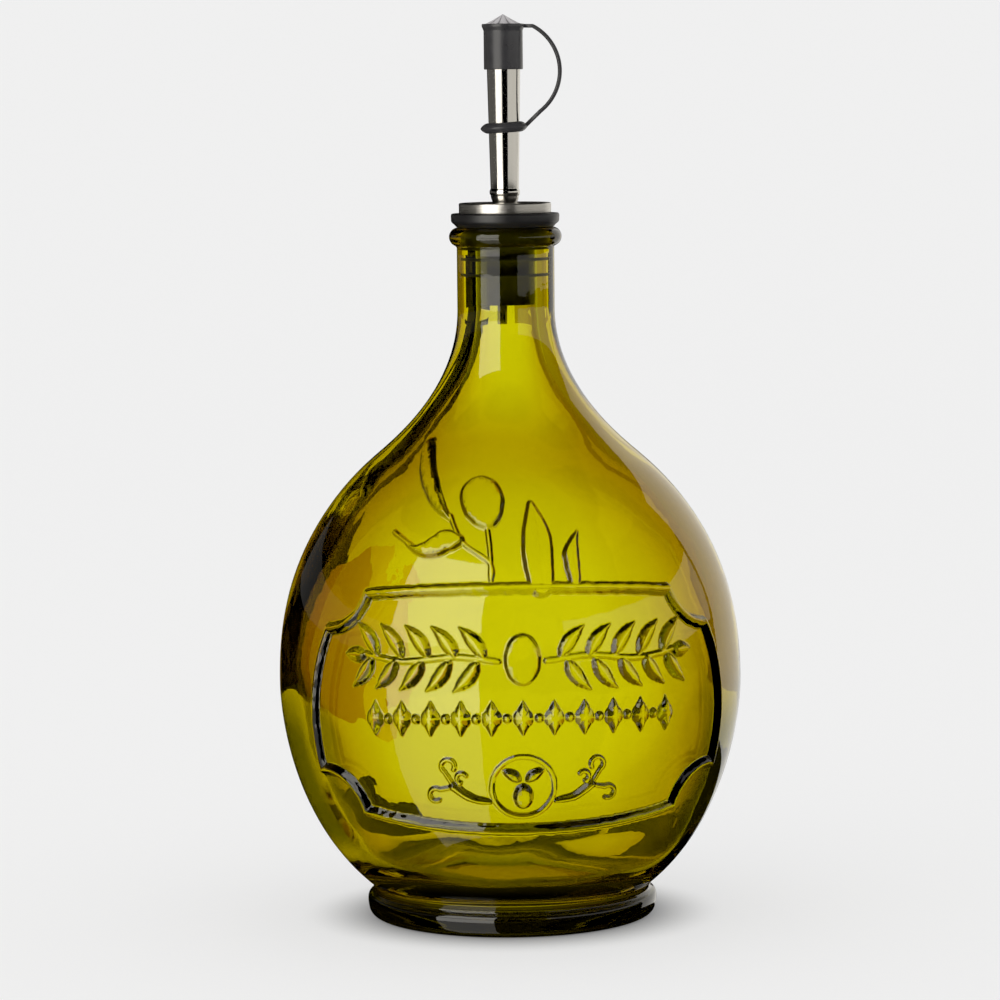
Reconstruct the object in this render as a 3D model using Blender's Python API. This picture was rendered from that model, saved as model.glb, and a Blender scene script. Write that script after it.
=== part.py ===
"""Round glass oil bottle with a raised label panel, a rubber stopper and a capped steel pouring spout."""

import math

import bmesh
import bpy
from mathutils import Matrix, Vector

# All lengths below are in millimetres, and MM turns them into metres when a mesh is made.
# Heights are measured from the surface that the bottle stands on. The label faces -Y.
MM = 0.001
GAP = 0.3

# Outside of the glass
BELLY_RADIUS = 71.0
BELLY_HEIGHT = 73.0
UPPER_REACH, UPPER_POWER, UPPER_ROUNDNESS = 88.05, 2.244, 1.583
LOWER_REACH, LOWER_POWER, LOWER_ROUNDNESS = 74.94, 1.7715, 2.6606
BELLY_LOW_END, BELLY_LOW_BAND, BELLY_HIGH_BAND = 10.0, 26.0, 116.0
SHOULDER_START = 143.0
SHOULDER_PULL, NECK_PULL = 10.2, 22.4
NECK_RADIUS = 14.9
NECK_START = 187.0
LIP_BOTTOM, LIP_TOP, LIP_RADIUS = 206.2, 212.0, 17.2
FOOT_RADIUS, FOOT_HEIGHT, FOOT_ROUNDING = 44.8, 7.0, 4.0
GROOVE_RADIUS = 42.8
REST_RING_INNER = 33.0
UNDERSIDE_RISE = 3.0

# Inside of the glass
WALL = 5.5
BORE_RADIUS = 9.1
FLOOR_LOW, FLOOR_PUSH_UP, FLOOR_FLAT_RADIUS = 13.5, 4.0, 30.0
FLOOR_CORNER_HEIGHT = 27.0

# Raised ornament on the glass. Each point is (distance along the girth from the front's middle, height).
RELIEF_DEPTH_INTO_WALL = 0.7
RELIEF_EDGE = 0.7
CROWNED_WIDTH = 4.0
LEAF_RISE, STEM_RISE, SCROLL_RISE = 0.9, 0.6, 0.8
THIN_END = 0.4

# Label frame: half of the outline, with how far each stretch bows out of the label
FRAME_WIDTH, FRAME_RISE = 2.8, 1.2
TOP_CORNER, TOP_SIDE = (48.4, 105.6), (64.6, 94.6)
BOTTOM_SIDE, BOTTOM_CORNER = (68.9, 51.5), (50.0, 40.5)
TOP_BOW, SIDE_BOW, BOTTOM_BOW, TOP_NOTCH, BOTTOM_NOTCH = 2.9, 4.9, 3.9, -2.9, -4.3

# Sprig above the label: leaves as (base, tip, width, bend), and bands as (points, widths)
SPRIG_LEAVES = (((-19.6, 128.2), (-25.4, 147.5), 5.0, -1.2), ((-18.6, 122.4), (-33.5, 119.6), 6.6, 1.0))
SPRIG_OLIVE = ((-10.2, 132.1), 14.0, 12.6, -14.0)
SPRIG_STEMS = (
    ((-33.0, 119.9), (-39.0, 123.3)),
    ((-20.2, 128.6), (-17.0, 121.6), (-8.9, 115.6), (-8.6, 110.5)),
    ((-9.2, 125.6), (-8.6, 118.0), (-8.7, 110.5)),
)
SPRIG_CUT_LEAVES = (
    (((6.0, 109.5), (5.4, 116.0), (5.2, 121.5), (4.6, 127.0), (3.8, 131.8)), (7.4, 8.6, 8.8, 5.6, 1.6)),
    (((16.2, 109.5), (15.6, 114.5), (15.4, 118.5), (17.6, 124.0)), (3.4, 4.4, 4.4, 0.5)),
)

# Garland: one half, with its stem, and pairs of leaves at even steps along it
GARLAND_HEIGHT, GARLAND_OLIVE = 88.0, ((0.0, 88.0), 15.0, 10.5, 0.0)
GARLAND_STEM = ((7.0, 87.6), (20.0, 88.8), (36.0, 87.0), (49.0, 88.4))
GARLAND_STEM_WIDTH = 1.5
GARLAND_PAIRS, GARLAND_FIRST, GARLAND_STEP = 5, 11.0, 8.4
GARLAND_LEAF_REACH, GARLAND_LEAF_RISE, GARLAND_LEAF_WIDTH = 7.5, 9.1, 4.0
GARLAND_LEAF_BEND, GARLAND_LOWER_SHIFT, GARLAND_END_LEAF = 0.9, 2.0, (49.0, 57.0)

# Row of lozenges with a bead between each two
LOZENGES_EACH_SIDE, LOZENGE_STEP = 5, 9.2
LOZENGE_HEIGHT, LOZENGE_SAG, LOZENGE_REACH, LOZENGE_WIDTH, BEAD_SIZE = 70.9, 0.00055, 5.0, 5.6, 2.6

# Medallion: a ring round an olive and two leaves, and a scroll with three curls on each side
RING_HEIGHT, RING_RADIUS, RING_WIDTH, RING_RISE = 50.1, 9.3, 1.5, 0.8
MEDAL_OLIVE = ((0.0, 47.2), 7.4, 5.4, 0.0)
MEDAL_LEAF = ((0.9, 51.8), (6.2, 55.2), 3.0, 0.5)
SCROLL_STEM, SCROLL_STEM_WIDTHS = ((9.6, 45.6), (15.0, 46.6), (20.6, 50.2)), (1.1, 2.0, 2.2)
SCROLL_ROOT, SCROLL_WIDTH = (20.4, 50.0), 1.2
SCROLL_CURLS = (((22.4, 56.4), 2.0, -60, 210), ((18.2, 52.8), 1.5, -75, 150), ((26.0, 47.4), 2.0, 125, -120))

# Rubber stopper
PLUG_BOTTOM, PLUG_CORE_RADIUS, PLUG_FIN_RADIUS = 188.5, 8.2, BORE_RADIUS - GAP
FIN_LOWEST, FIN_SPACING, FIN_COUNT, FIN_HEIGHT = 189.8, 5.8, 4, 1.6
FLANGE_BOTTOM, FLANGE_TOP = LIP_TOP + GAP, 216.0
FLANGE_BOTTOM_RADIUS, FLANGE_TOP_RADIUS = 15.2, 16.6
WEB_TOP = 192.0
POUR_HOLE_X, POUR_HOLE_RADIUS = 2.35, 1.2

# Steel disc, spout and vent
DISC_BOTTOM, DISC_TOP, DISC_RADIUS = FLANGE_TOP + GAP, 219.4, 14.1
SPOUT_ROOT_RADIUS, SPOUT_LOW_RADIUS, SPOUT_TOP_RADIUS = 3.6, 4.3, 5.1
SPOUT_BOTTOM, SPOUT_TOP = WEB_TOP + GAP, 270.0
SPOUT_BEAD_HEIGHT, SPOUT_BEAD_RADIUS = 222.7, 4.65
SPOUT_STRAIGHT_START = 223.6
SPOUT_WALL = 0.6
VENT_X, VENT_RADIUS, VENT_BORE = -1.1, 1.5, 0.9
VENT_BOTTOM, VENT_TOP = 182.35, 196.0

# Rubber cap with its strap and ring
CAP_BOTTOM, CAP_TOP, CAP_RADIUS = 259.9, 273.0, 5.95
CAP_LIP_RADIUS, CAP_LIP_TOP = 6.5, 273.7
CAP_HOLLOW_TOP = 271.0
CROWN_BOTTOM, CROWN_RADIUS, CROWN_TIP, CROWN_PLEATS = CAP_TOP + GAP, 5.3, 276.65, 8
CROWN_SHOULDER_RADIUS, CROWN_SHOULDER, CROWN_VALLEY = 2.6, 275.2, 274.6
CROWN_RIDGE_EDGE, CROWN_VALLEY_EDGE = 0.6, 0.3
STRAP_CENTRE_X, STRAP_CENTRE_HEIGHT, STRAP_RADIUS = 1.8, 259.4, 15.4
STRAP_THICKNESS, STRAP_WIDTH = 1.1, 3.0
STRAP_TOP_ANGLE, STRAP_END_ANGLE = 62.0, -66.0
STRAP_ROOT, STRAP_END = (5.95, 273.05), (6.4, 242.9)
HOLD_RING_HEIGHT, HOLD_RING_INNER, HOLD_RING_OUTER = 242.3, 5.1, 7.2
HOLD_RING_HALF_THICKNESS, HOLD_RING_TILT = 1.4, math.radians(3.2)

# How finely the round pieces are divided, and the bend past which an edge stays sharp
SHARP_BEND = math.radians(35)
GLASS_SIDES = 48
FITTING_SIDES = 24
SMALL_SIDES = 12

GLASS_COLOUR = (0.66, 0.60, 0.01)
RUBBER_COLOUR = (0.020, 0.019, 0.020)
STEEL_COLOUR = (0.72, 0.70, 0.66)
CROWN_COLOUR = (0.42, 0.40, 0.40)


def clear_scene():
    for old in list(bpy.data.objects):
        bpy.data.objects.remove(old, do_unlink=True)


def make_material(name, colour, roughness, metallic=0.0, transmission=0.0):
    material = bpy.data.materials.new(name)
    material.use_nodes = True
    shader = material.node_tree.nodes["Principled BSDF"]
    shader.inputs["Base Color"].default_value = (*colour, 1.0)
    shader.inputs["Roughness"].default_value = roughness
    shader.inputs["Metallic"].default_value = metallic
    shader.inputs["Transmission Weight"].default_value = transmission
    return material


def make_object(name, bm, material):
    """Make a mesh in metres from one drawn in millimetres, and put it in the scene as an object."""
    bmesh.ops.transform(bm, matrix=Matrix.Scale(MM, 4), verts=bm.verts)
    bmesh.ops.recalc_face_normals(bm, faces=bm.faces)
    mesh = bpy.data.meshes.new(name)
    bm.to_mesh(mesh)
    bm.free()
    mesh.materials.append(material)
    mesh.shade_smooth()
    mesh.set_sharp_from_angle(angle=SHARP_BEND)
    new_object = bpy.data.objects.new(name, mesh)
    bpy.context.scene.collection.objects.link(new_object)
    return new_object


def turn(bm, profile, sides, closed=False):
    """Turn a profile of (radius, height) points about Z. A point at radius 0 becomes a single pole."""
    rings = []
    for radius, height in profile:
        if radius == 0.0:
            rings.append([bm.verts.new((0.0, 0.0, height))])
            continue
        ring = []
        for side in range(sides):
            angle = math.tau * side / sides
            ring.append(bm.verts.new((radius * math.cos(angle), radius * math.sin(angle), height)))
        rings.append(ring)
    pairs = list(zip(rings, rings[1:]))
    if closed:
        pairs.append((rings[-1], rings[0]))
    for low, high in pairs:
        for side in range(sides):
            following = (side + 1) % sides
            corners = [low[side % len(low)], low[following % len(low)]]
            corners += [high[following % len(high)], high[side % len(high)]]
            bm.faces.new(list(dict.fromkeys(corners)))


def arc(centre, radius, start, end, steps):
    """Points on an arc, from one angle to another in degrees."""
    points = []
    for step in range(steps + 1):
        angle = math.radians(start + (end - start) * step / steps)
        points.append((centre[0] + radius * math.cos(angle), centre[1] + radius * math.sin(angle)))
    return points


def bow(start, end, rise, steps):
    """Points on an arc that rises to the left of the straight line from start to end, or along the line."""
    if rise == 0.0:
        shares = [step / steps for step in range(steps + 1)]
        return [(start[0] + (end[0] - start[0]) * share, start[1] + (end[1] - start[1]) * share)
                for share in shares]
    chord = math.hypot(end[0] - start[0], end[1] - start[1])
    along = ((end[0] - start[0]) / chord, (end[1] - start[1]) / chord)
    across = (-along[1], along[0])
    radius = (chord * chord / 4.0 + rise * rise) / (2.0 * rise)
    half_angle = math.asin(chord / (2.0 * radius))
    points = []
    for step in range(steps + 1):
        angle = half_angle * (2.0 * step / steps - 1.0)
        forward = chord / 2.0 + radius * math.sin(angle)
        aside = rise - radius * (1.0 - math.cos(angle))
        points.append((start[0] + along[0] * forward + across[0] * aside,
                       start[1] + along[1] * forward + across[1] * aside))
    return points


def bezier(points, steps):
    """Points on a cubic curve, given its two ends and the two points that pull it."""
    first, second, third, fourth = (Vector(point) for point in points)
    curve = []
    for step in range(steps + 1):
        t = step / steps
        s = 1.0 - t
        curve.append(tuple(s**3 * first + 3 * s * s * t * second + 3 * s * t * t * third + t**3 * fourth))
    return curve


# Shape of the glass

def belly_radius(height):
    """Outer radius of the round body between its foot and its shoulder."""
    if height >= BELLY_HEIGHT:
        share = (height - BELLY_HEIGHT) / UPPER_REACH
        return BELLY_RADIUS * (1.0 - share**UPPER_POWER) ** (1.0 / UPPER_ROUNDNESS)
    share = (BELLY_HEIGHT - height) / LOWER_REACH
    return BELLY_RADIUS * (1.0 - share**LOWER_POWER) ** (1.0 / LOWER_ROUNDNESS)


def shoulder_points(steps):
    """The sweep from the body into the neck, which leaves the body along its slope."""
    start = (belly_radius(SHOULDER_START), SHOULDER_START)
    below = belly_radius(SHOULDER_START - 0.5)
    slope = Vector((start[0] - below, 0.5)).normalized() * SHOULDER_PULL
    leave = (start[0] + slope.x, start[1] + slope.y)
    arrive = (NECK_RADIUS, NECK_START - NECK_PULL)
    return bezier([start, leave, arrive, (NECK_RADIUS, NECK_START)], steps)


def belly_points(low, high, steps):
    heights = [low + (high - low) * step / steps for step in range(steps + 1)]
    return [(belly_radius(height), height) for height in heights]


def wall_points():
    """Outer profile of the body and neck, from above the foot to below the lip."""
    points = belly_points(BELLY_LOW_END, BELLY_LOW_BAND, 3)
    points += belly_points(BELLY_LOW_BAND, BELLY_HIGH_BAND, 8)[1:]
    points += belly_points(BELLY_HIGH_BAND, SHOULDER_START, 4)[1:]
    points += shoulder_points(6)[1:]
    return points


def foot_points():
    """Underside and foot ring, from the middle of the underside up to the groove above the ring."""
    corner = (FOOT_RADIUS - FOOT_ROUNDING, FOOT_ROUNDING)
    points = [(0.0, UNDERSIDE_RISE), (REST_RING_INNER * 0.6, UNDERSIDE_RISE * 0.72)]
    points += [(REST_RING_INNER, 0.0)]
    points += arc(corner, FOOT_ROUNDING, -90, 0, 3)
    points += [(FOOT_RADIUS, FOOT_HEIGHT - 1.6), (FOOT_RADIUS - 1.2, FOOT_HEIGHT - 0.2)]
    points += [(GROOVE_RADIUS, FOOT_HEIGHT + 1.0)]
    return points


def lip_points():
    """The rounded band at the mouth, from the neck round its outside to the rim of the bore."""
    half = (LIP_TOP - LIP_BOTTOM) / 2.0
    middle = (LIP_RADIUS - half, LIP_BOTTOM + half)
    points = [(NECK_RADIUS, LIP_BOTTOM - 0.6), (NECK_RADIUS + 0.3, LIP_BOTTOM + 0.2)]
    points += arc(middle, half, -80, 90, 5)
    points += [(BORE_RADIUS + 0.8, LIP_TOP), (BORE_RADIUS, LIP_TOP - 0.8)]
    return points


def hollow_points():
    """Inner profile, from the rim of the bore down the wall and across the floor to the middle."""
    outer = wall_points()
    inner = []
    for index in range(1, len(outer) - 1):
        before, point, after = outer[index - 1], outer[index], outer[index + 1]
        along = Vector((after[0] - before[0], after[1] - before[1])).normalized()
        radius = point[0] - along.y * WALL
        height = point[1] + along.x * WALL
        if height > FLOOR_CORNER_HEIGHT and radius > BORE_RADIUS + 0.2:
            inner.append((radius, height))
    inner.reverse()
    wall_end = Vector(inner[-1])
    down = (wall_end - Vector(inner[-2])).normalized() * 9.0
    corner = bezier([inner[-1], tuple(wall_end + down), (FLOOR_FLAT_RADIUS + 9.0, FLOOR_LOW),
                     (FLOOR_FLAT_RADIUS, FLOOR_LOW)], 3)
    floor = []
    for share in (0.5, 0.0):
        rise = FLOOR_PUSH_UP * (1.0 + math.cos(math.pi * share)) / 2.0
        floor.append((FLOOR_FLAT_RADIUS * share, FLOOR_LOW + rise))
    return [(BORE_RADIUS, NECK_START)] + inner + corner[1:] + floor


GLASS_WALL = wall_points()


def glass_radius(height):
    """Outer radius of the body at a height, also where the shoulder sweeps into the neck."""
    if height <= SHOULDER_START:
        return belly_radius(height)
    for low, high in zip(GLASS_WALL, GLASS_WALL[1:]):
        if low[1] <= height <= high[1]:
            return low[0] + (high[0] - low[0]) * (height - low[1]) / (high[1] - low[1])
    return NECK_RADIUS


def on_glass(girth, height, lift):
    """The point that lies a distance along the girth from the middle of the front, lifted off the glass."""
    radius = glass_radius(height)
    slope = (glass_radius(height + 0.5) - glass_radius(height - 0.5)) / 1.0
    angle = girth / radius
    outward = Vector((math.sin(angle), -math.cos(angle), -slope)).normalized()
    return Vector((radius * math.sin(angle), -radius * math.cos(angle), height)) + outward * lift


# Raised ornament

def smooth_path(points, steps):
    """A smooth curve through a few points, with the same number of steps between each two."""
    path = []
    padded = [points[0]] + list(points) + [points[-1]]
    for index in range(1, len(padded) - 2):
        p0, p1, p2, p3 = (Vector(padded[index + offset]) for offset in (-1, 0, 1, 2))
        for step in range(steps):
            t = step / steps
            path.append(0.5 * ((2 * p1) + (p2 - p0) * t + (2 * p0 - 5 * p1 + 4 * p2 - p3) * t * t
                               + (3 * p1 - p0 - 3 * p2 + p3) * t**3))
    path.append(Vector(points[-1]))
    return [tuple(point) for point in path]


def raised_band(bm, path, widths, rise, closed=False):
    """A raised band along a path on the glass, as a closed solid that reaches into the wall."""
    count = len(path)
    crowned = max(widths) > CROWNED_WIDTH
    rows = []
    for index in range(count):
        before = path[(index - 1) % count] if closed or index > 0 else path[index]
        after = path[(index + 1) % count] if closed or index < count - 1 else path[index]
        along = Vector((after[0] - before[0], after[1] - before[1])).normalized()
        across = Vector((along.y, -along.x))
        half = widths[index] / 2.0
        shoulder = half - min(RELIEF_EDGE, half * 0.5)
        lift = min(rise, rise * (0.35 + half))
        section = [(-half, -RELIEF_DEPTH_INTO_WALL), (-shoulder, lift)]
        if crowned:
            section += [(0.0, lift * 1.12)]
        section += [(shoulder, lift), (half, -RELIEF_DEPTH_INTO_WALL)]
        row = []
        for aside, up in section:
            girth = path[index][0] + across.x * aside
            height = path[index][1] + across.y * aside
            row.append(bm.verts.new(on_glass(girth, height, up)))
        rows.append(row)
    pairs = list(zip(rows, rows[1:]))
    if closed:
        pairs.append((rows[-1], rows[0]))
    for first, second in pairs:
        for corner in range(len(first)):
            following = (corner + 1) % len(first)
            bm.faces.new((first[corner], first[following], second[following], second[corner]))
    if not closed:
        bm.faces.new(rows[0])
        bm.faces.new(list(reversed(rows[-1])))


def mirrored(point, side):
    return (side * point[0], point[1])


def frame_path():
    """The label's outline: bowed top, bottom and sides, with a hollow notch at each corner."""
    right = bow(TOP_CORNER, TOP_SIDE, TOP_NOTCH, 5)[:-1]
    right += bow(TOP_SIDE, BOTTOM_SIDE, SIDE_BOW, 8)[:-1]
    right += bow(BOTTOM_SIDE, BOTTOM_CORNER, BOTTOM_NOTCH, 5)[:-1]
    left = [mirrored(point, -1) for point in reversed(right)]
    top = bow(mirrored(TOP_CORNER, -1), TOP_CORNER, TOP_BOW, 12)[:-1]
    bottom = bow(BOTTOM_CORNER, mirrored(BOTTOM_CORNER, -1), BOTTOM_BOW, 12)
    return top + right + bottom + left[:-1]


def add_leaf(bm, base, tip, width, bend=0.0, steps=5):
    """A pointed leaf from its base to its tip, bowed to one side."""
    path = bow(base, tip, bend, steps)
    widths = [max(THIN_END, width * math.sin(math.pi * (step / steps) ** 0.85)) for step in range(steps + 1)]
    raised_band(bm, path, widths, LEAF_RISE)


def add_oval(bm, centre, length, width, lean, steps=5):
    """An oval fruit, its length leaning from upright by an angle in degrees."""
    reach = Vector((math.sin(math.radians(lean)), math.cos(math.radians(lean)))) * length / 2.0
    path = []
    widths = []
    for step in range(steps + 1):
        angle = math.pi * (0.08 + 0.84 * step / steps)
        path.append((centre[0] - reach.x * math.cos(angle), centre[1] - reach.y * math.cos(angle)))
        widths.append(width * math.sin(angle))
    raised_band(bm, path, widths, LEAF_RISE)


def add_stem(bm, points, steps=2, width=SCROLL_WIDTH):
    path = smooth_path(points, steps)
    raised_band(bm, path, [width] * len(path), STEM_RISE)


def add_frame(bm):
    frame = frame_path()
    raised_band(bm, frame, [FRAME_WIDTH] * len(frame), FRAME_RISE, closed=True)


def add_sprig(bm):
    """The olive sprig that stands on the label, with two leaves cut off by the frame."""
    for base, tip, width, bend in SPRIG_LEAVES:
        add_leaf(bm, base, tip, width, bend)
    add_oval(bm, *SPRIG_OLIVE, steps=6)
    for points in SPRIG_STEMS:
        add_stem(bm, points)
    for points, widths in SPRIG_CUT_LEAVES:
        raised_band(bm, points, widths, LEAF_RISE)


def add_garland(bm):
    """The main row on the label: two olive twigs that meet at an olive in the middle."""
    for side in (-1, 1):
        add_stem(bm, [mirrored(point, side) for point in GARLAND_STEM], width=GARLAND_STEM_WIDTH)
        for pair in range(GARLAND_PAIRS):
            for up, shift in ((1, 0.0), (-1, GARLAND_LOWER_SHIFT)):
                girth = GARLAND_FIRST + pair * GARLAND_STEP + shift
                base = (side * girth, GARLAND_HEIGHT)
                tip = (side * (girth + GARLAND_LEAF_REACH), GARLAND_HEIGHT + up * GARLAND_LEAF_RISE)
                add_leaf(bm, base, tip, GARLAND_LEAF_WIDTH, side * up * GARLAND_LEAF_BEND, steps=4)
        base, tip = ((side * girth, GARLAND_HEIGHT) for girth in GARLAND_END_LEAF)
        add_leaf(bm, base, tip, GARLAND_LEAF_WIDTH, steps=4)
    add_oval(bm, *GARLAND_OLIVE, steps=6)


def add_lozenge_row(bm):
    for place in range(-LOZENGES_EACH_SIDE, LOZENGES_EACH_SIDE + 1):
        girth = place * LOZENGE_STEP
        height = LOZENGE_HEIGHT - LOZENGE_SAG * girth * girth
        points = [(girth, height + reach) for reach in (-LOZENGE_REACH, 0.0, LOZENGE_REACH)]
        raised_band(bm, points, [THIN_END, LOZENGE_WIDTH, THIN_END], LEAF_RISE)
        if place < LOZENGES_EACH_SIDE:
            add_oval(bm, (girth + LOZENGE_STEP / 2.0, height), BEAD_SIZE, BEAD_SIZE, 0.0, steps=2)


def add_medallion(bm):
    ring = arc((0.0, RING_HEIGHT), RING_RADIUS, 90, 450, 20)[:-1]
    raised_band(bm, ring, [RING_WIDTH] * len(ring), RING_RISE, closed=True)
    add_oval(bm, *MEDAL_OLIVE, steps=4)
    base, tip, width, bend = MEDAL_LEAF
    for side in (-1, 1):
        add_leaf(bm, mirrored(base, side), mirrored(tip, side), width, side * bend, steps=3)
        raised_band(bm, [mirrored(point, side) for point in SCROLL_STEM], SCROLL_STEM_WIDTHS, SCROLL_RISE)
        for centre, radius, start, end in SCROLL_CURLS:
            curl = [SCROLL_ROOT] + arc(centre, radius, start, end, 5)
            raised_band(bm, [mirrored(point, side) for point in curl], [SCROLL_WIDTH] * len(curl), STEM_RISE)


def build_ornament():
    """Every raised shape on the glass, each as a closed solid of its own, in one collection."""
    pieces = bpy.data.collections.new("ornament")
    material = make_material("ornament", GLASS_COLOUR, 0.05)
    for name, draw in (("frame", add_frame), ("sprig", add_sprig), ("garland", add_garland),
                       ("lozenges", add_lozenge_row), ("medallion", add_medallion)):
        bm = bmesh.new()
        draw(bm)
        piece = make_object("ornament_" + name, bm, material)
        bpy.context.scene.collection.objects.unlink(piece)
        pieces.objects.link(piece)
    bpy.context.scene.collection.children.link(pieces)
    return pieces


def apply_boolean(target, operation, cutters):
    """Join or cut with every object of a collection, apply it, and remove that collection's objects."""
    boolean = target.modifiers.new("boolean", "BOOLEAN")
    boolean.operation = operation
    boolean.operand_type = "COLLECTION"
    boolean.collection = cutters
    boolean.solver = "EXACT"
    bpy.context.view_layer.update()
    evaluated = target.evaluated_get(bpy.context.evaluated_depsgraph_get())
    mesh = bpy.data.meshes.new_from_object(evaluated)
    mesh.shade_smooth()
    mesh.set_sharp_from_angle(angle=SHARP_BEND)
    target.modifiers.clear()
    target.data = mesh
    for used in list(cutters.objects):
        bpy.data.objects.remove(used, do_unlink=True)
    bpy.data.collections.remove(cutters)


def build_bottle():
    profile = foot_points() + GLASS_WALL + lip_points() + hollow_points()
    bm = bmesh.new()
    turn(bm, profile, GLASS_SIDES)
    bottle = make_object("glass_bottle", bm, make_material("glass", GLASS_COLOUR, 0.03, transmission=1.0))
    apply_boolean(bottle, "UNION", build_ornament())


# Stopper, spout and cap

def build_stopper():
    """Rubber plug with fins round it and a flange on the lip, bored for the spout, vent and oil."""
    profile = [(0.0, PLUG_BOTTOM), (PLUG_CORE_RADIUS - 0.5, PLUG_BOTTOM)]
    for fin in range(FIN_COUNT):
        height = FIN_LOWEST + fin * FIN_SPACING
        profile += [(PLUG_CORE_RADIUS, height - FIN_HEIGHT / 2.0), (PLUG_FIN_RADIUS, height)]
        profile += [(PLUG_FIN_RADIUS, height + 0.4), (PLUG_CORE_RADIUS, height + FIN_HEIGHT)]
    profile += [(PLUG_CORE_RADIUS, FLANGE_BOTTOM), (FLANGE_BOTTOM_RADIUS - 0.4, FLANGE_BOTTOM)]
    profile += [(FLANGE_BOTTOM_RADIUS, FLANGE_BOTTOM + 0.4), (FLANGE_TOP_RADIUS, FLANGE_TOP - 0.9)]
    profile += [(FLANGE_TOP_RADIUS - 0.1, FLANGE_TOP - 0.3), (FLANGE_TOP_RADIUS - 0.6, FLANGE_TOP)]
    hole = SPOUT_ROOT_RADIUS + GAP
    profile += [(hole, FLANGE_TOP), (hole, WEB_TOP), (0.0, WEB_TOP)]
    bm = bmesh.new()
    turn(bm, profile, FITTING_SIDES)
    stopper = make_object("stopper", bm, make_material("stopper_rubber", RUBBER_COLOUR, 0.5))
    holes = bpy.data.collections.new("holes")
    bpy.context.scene.collection.children.link(holes)
    for name, place, radius in (("vent", VENT_X, VENT_RADIUS + GAP), ("pour", POUR_HOLE_X, POUR_HOLE_RADIUS)):
        bm = bmesh.new()
        turn(bm, [(0.0, PLUG_BOTTOM - 1.0), (radius, PLUG_BOTTOM - 1.0), (radius, WEB_TOP + 1.0),
                  (0.0, WEB_TOP + 1.0)], SMALL_SIDES)
        bmesh.ops.translate(bm, vec=(place, 0.0, 0.0), verts=bm.verts)
        cutter = make_object("hole_" + name, bm, stopper.data.materials[0])
        bpy.context.scene.collection.objects.unlink(cutter)
        holes.objects.link(cutter)
    apply_boolean(stopper, "DIFFERENCE", holes)


def build_disc():
    inner = SPOUT_ROOT_RADIUS + GAP
    profile = [(inner, DISC_BOTTOM), (DISC_RADIUS - 0.3, DISC_BOTTOM), (DISC_RADIUS, DISC_BOTTOM + 0.3)]
    profile += [(DISC_RADIUS, DISC_TOP - 0.4), (DISC_RADIUS - 0.4, DISC_TOP), (inner, DISC_TOP)]
    bm = bmesh.new()
    turn(bm, profile, FITTING_SIDES, closed=True)
    make_object("pourer_disc", bm, make_material("disc_steel", STEEL_COLOUR, 0.18, metallic=1.0))


def build_spout():
    """Steel tube that widens upwards, with a bead above its narrow root, open at both ends."""
    outer = [(SPOUT_ROOT_RADIUS, SPOUT_BOTTOM), (SPOUT_ROOT_RADIUS, DISC_TOP + 0.1)]
    outer += [(SPOUT_ROOT_RADIUS + 0.5, DISC_TOP + 0.8), (SPOUT_LOW_RADIUS, SPOUT_BEAD_HEIGHT - 1.0)]
    outer += [(SPOUT_BEAD_RADIUS - 0.1, SPOUT_BEAD_HEIGHT - 0.5), (SPOUT_BEAD_RADIUS, SPOUT_BEAD_HEIGHT)]
    outer += [(SPOUT_BEAD_RADIUS - 0.1, SPOUT_BEAD_HEIGHT + 0.5), (SPOUT_LOW_RADIUS, SPOUT_STRAIGHT_START)]
    outer += [(SPOUT_TOP_RADIUS, CAP_BOTTOM + 1.0), (SPOUT_TOP_RADIUS, SPOUT_TOP - 0.4)]
    outer += [(SPOUT_TOP_RADIUS - 0.2, SPOUT_TOP)]
    inner = [(SPOUT_TOP_RADIUS - SPOUT_WALL, SPOUT_TOP), (SPOUT_TOP_RADIUS - SPOUT_WALL, CAP_BOTTOM + 1.0)]
    inner += [(SPOUT_LOW_RADIUS - SPOUT_WALL, SPOUT_STRAIGHT_START)]
    inner += [(SPOUT_ROOT_RADIUS - SPOUT_WALL, DISC_TOP), (SPOUT_ROOT_RADIUS - SPOUT_WALL, SPOUT_BOTTOM)]
    bm = bmesh.new()
    turn(bm, outer + inner, FITTING_SIDES, closed=True)
    make_object("spout_tube", bm, make_material("spout_steel", STEEL_COLOUR, 0.12, metallic=1.0))


def build_vent():
    bm = bmesh.new()
    profile = [(VENT_RADIUS, VENT_BOTTOM), (VENT_RADIUS, VENT_TOP)]
    profile += [(VENT_BORE, VENT_TOP), (VENT_BORE, VENT_BOTTOM)]
    turn(bm, profile, SMALL_SIDES, closed=True)
    bmesh.ops.translate(bm, vec=(VENT_X, 0.0, 0.0), verts=bm.verts)
    make_object("vent_tube", bm, make_material("vent_steel", STEEL_COLOUR, 0.25, metallic=1.0))


def strap_solid():
    """The flat strap that loops from the cap's lip down to the ring on the spout."""
    path = [STRAP_ROOT]
    path += arc((STRAP_CENTRE_X, STRAP_CENTRE_HEIGHT), STRAP_RADIUS, STRAP_TOP_ANGLE, STRAP_END_ANGLE, 22)
    path += [STRAP_END]
    bm = bmesh.new()
    rows = []
    for index, (x, z) in enumerate(path):
        before, after = path[max(index - 1, 0)], path[min(index + 1, len(path) - 1)]
        along = Vector((after[0] - before[0], after[1] - before[1])).normalized()
        outward = Vector((-along.y, along.x)) * STRAP_THICKNESS / 2.0
        row = []
        for reach, side in ((outward, -1), (outward, 1), (-outward, 1), (-outward, -1)):
            row.append(bm.verts.new((x + reach.x, side * STRAP_WIDTH / 2.0, z + reach.y)))
        rows.append(row)
    for first, second in zip(rows, rows[1:]):
        for corner in range(4):
            following = (corner + 1) % 4
            bm.faces.new((first[corner], first[following], second[following], second[corner]))
    bm.faces.new(rows[0])
    bm.faces.new(list(reversed(rows[-1])))
    return bm


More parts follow.
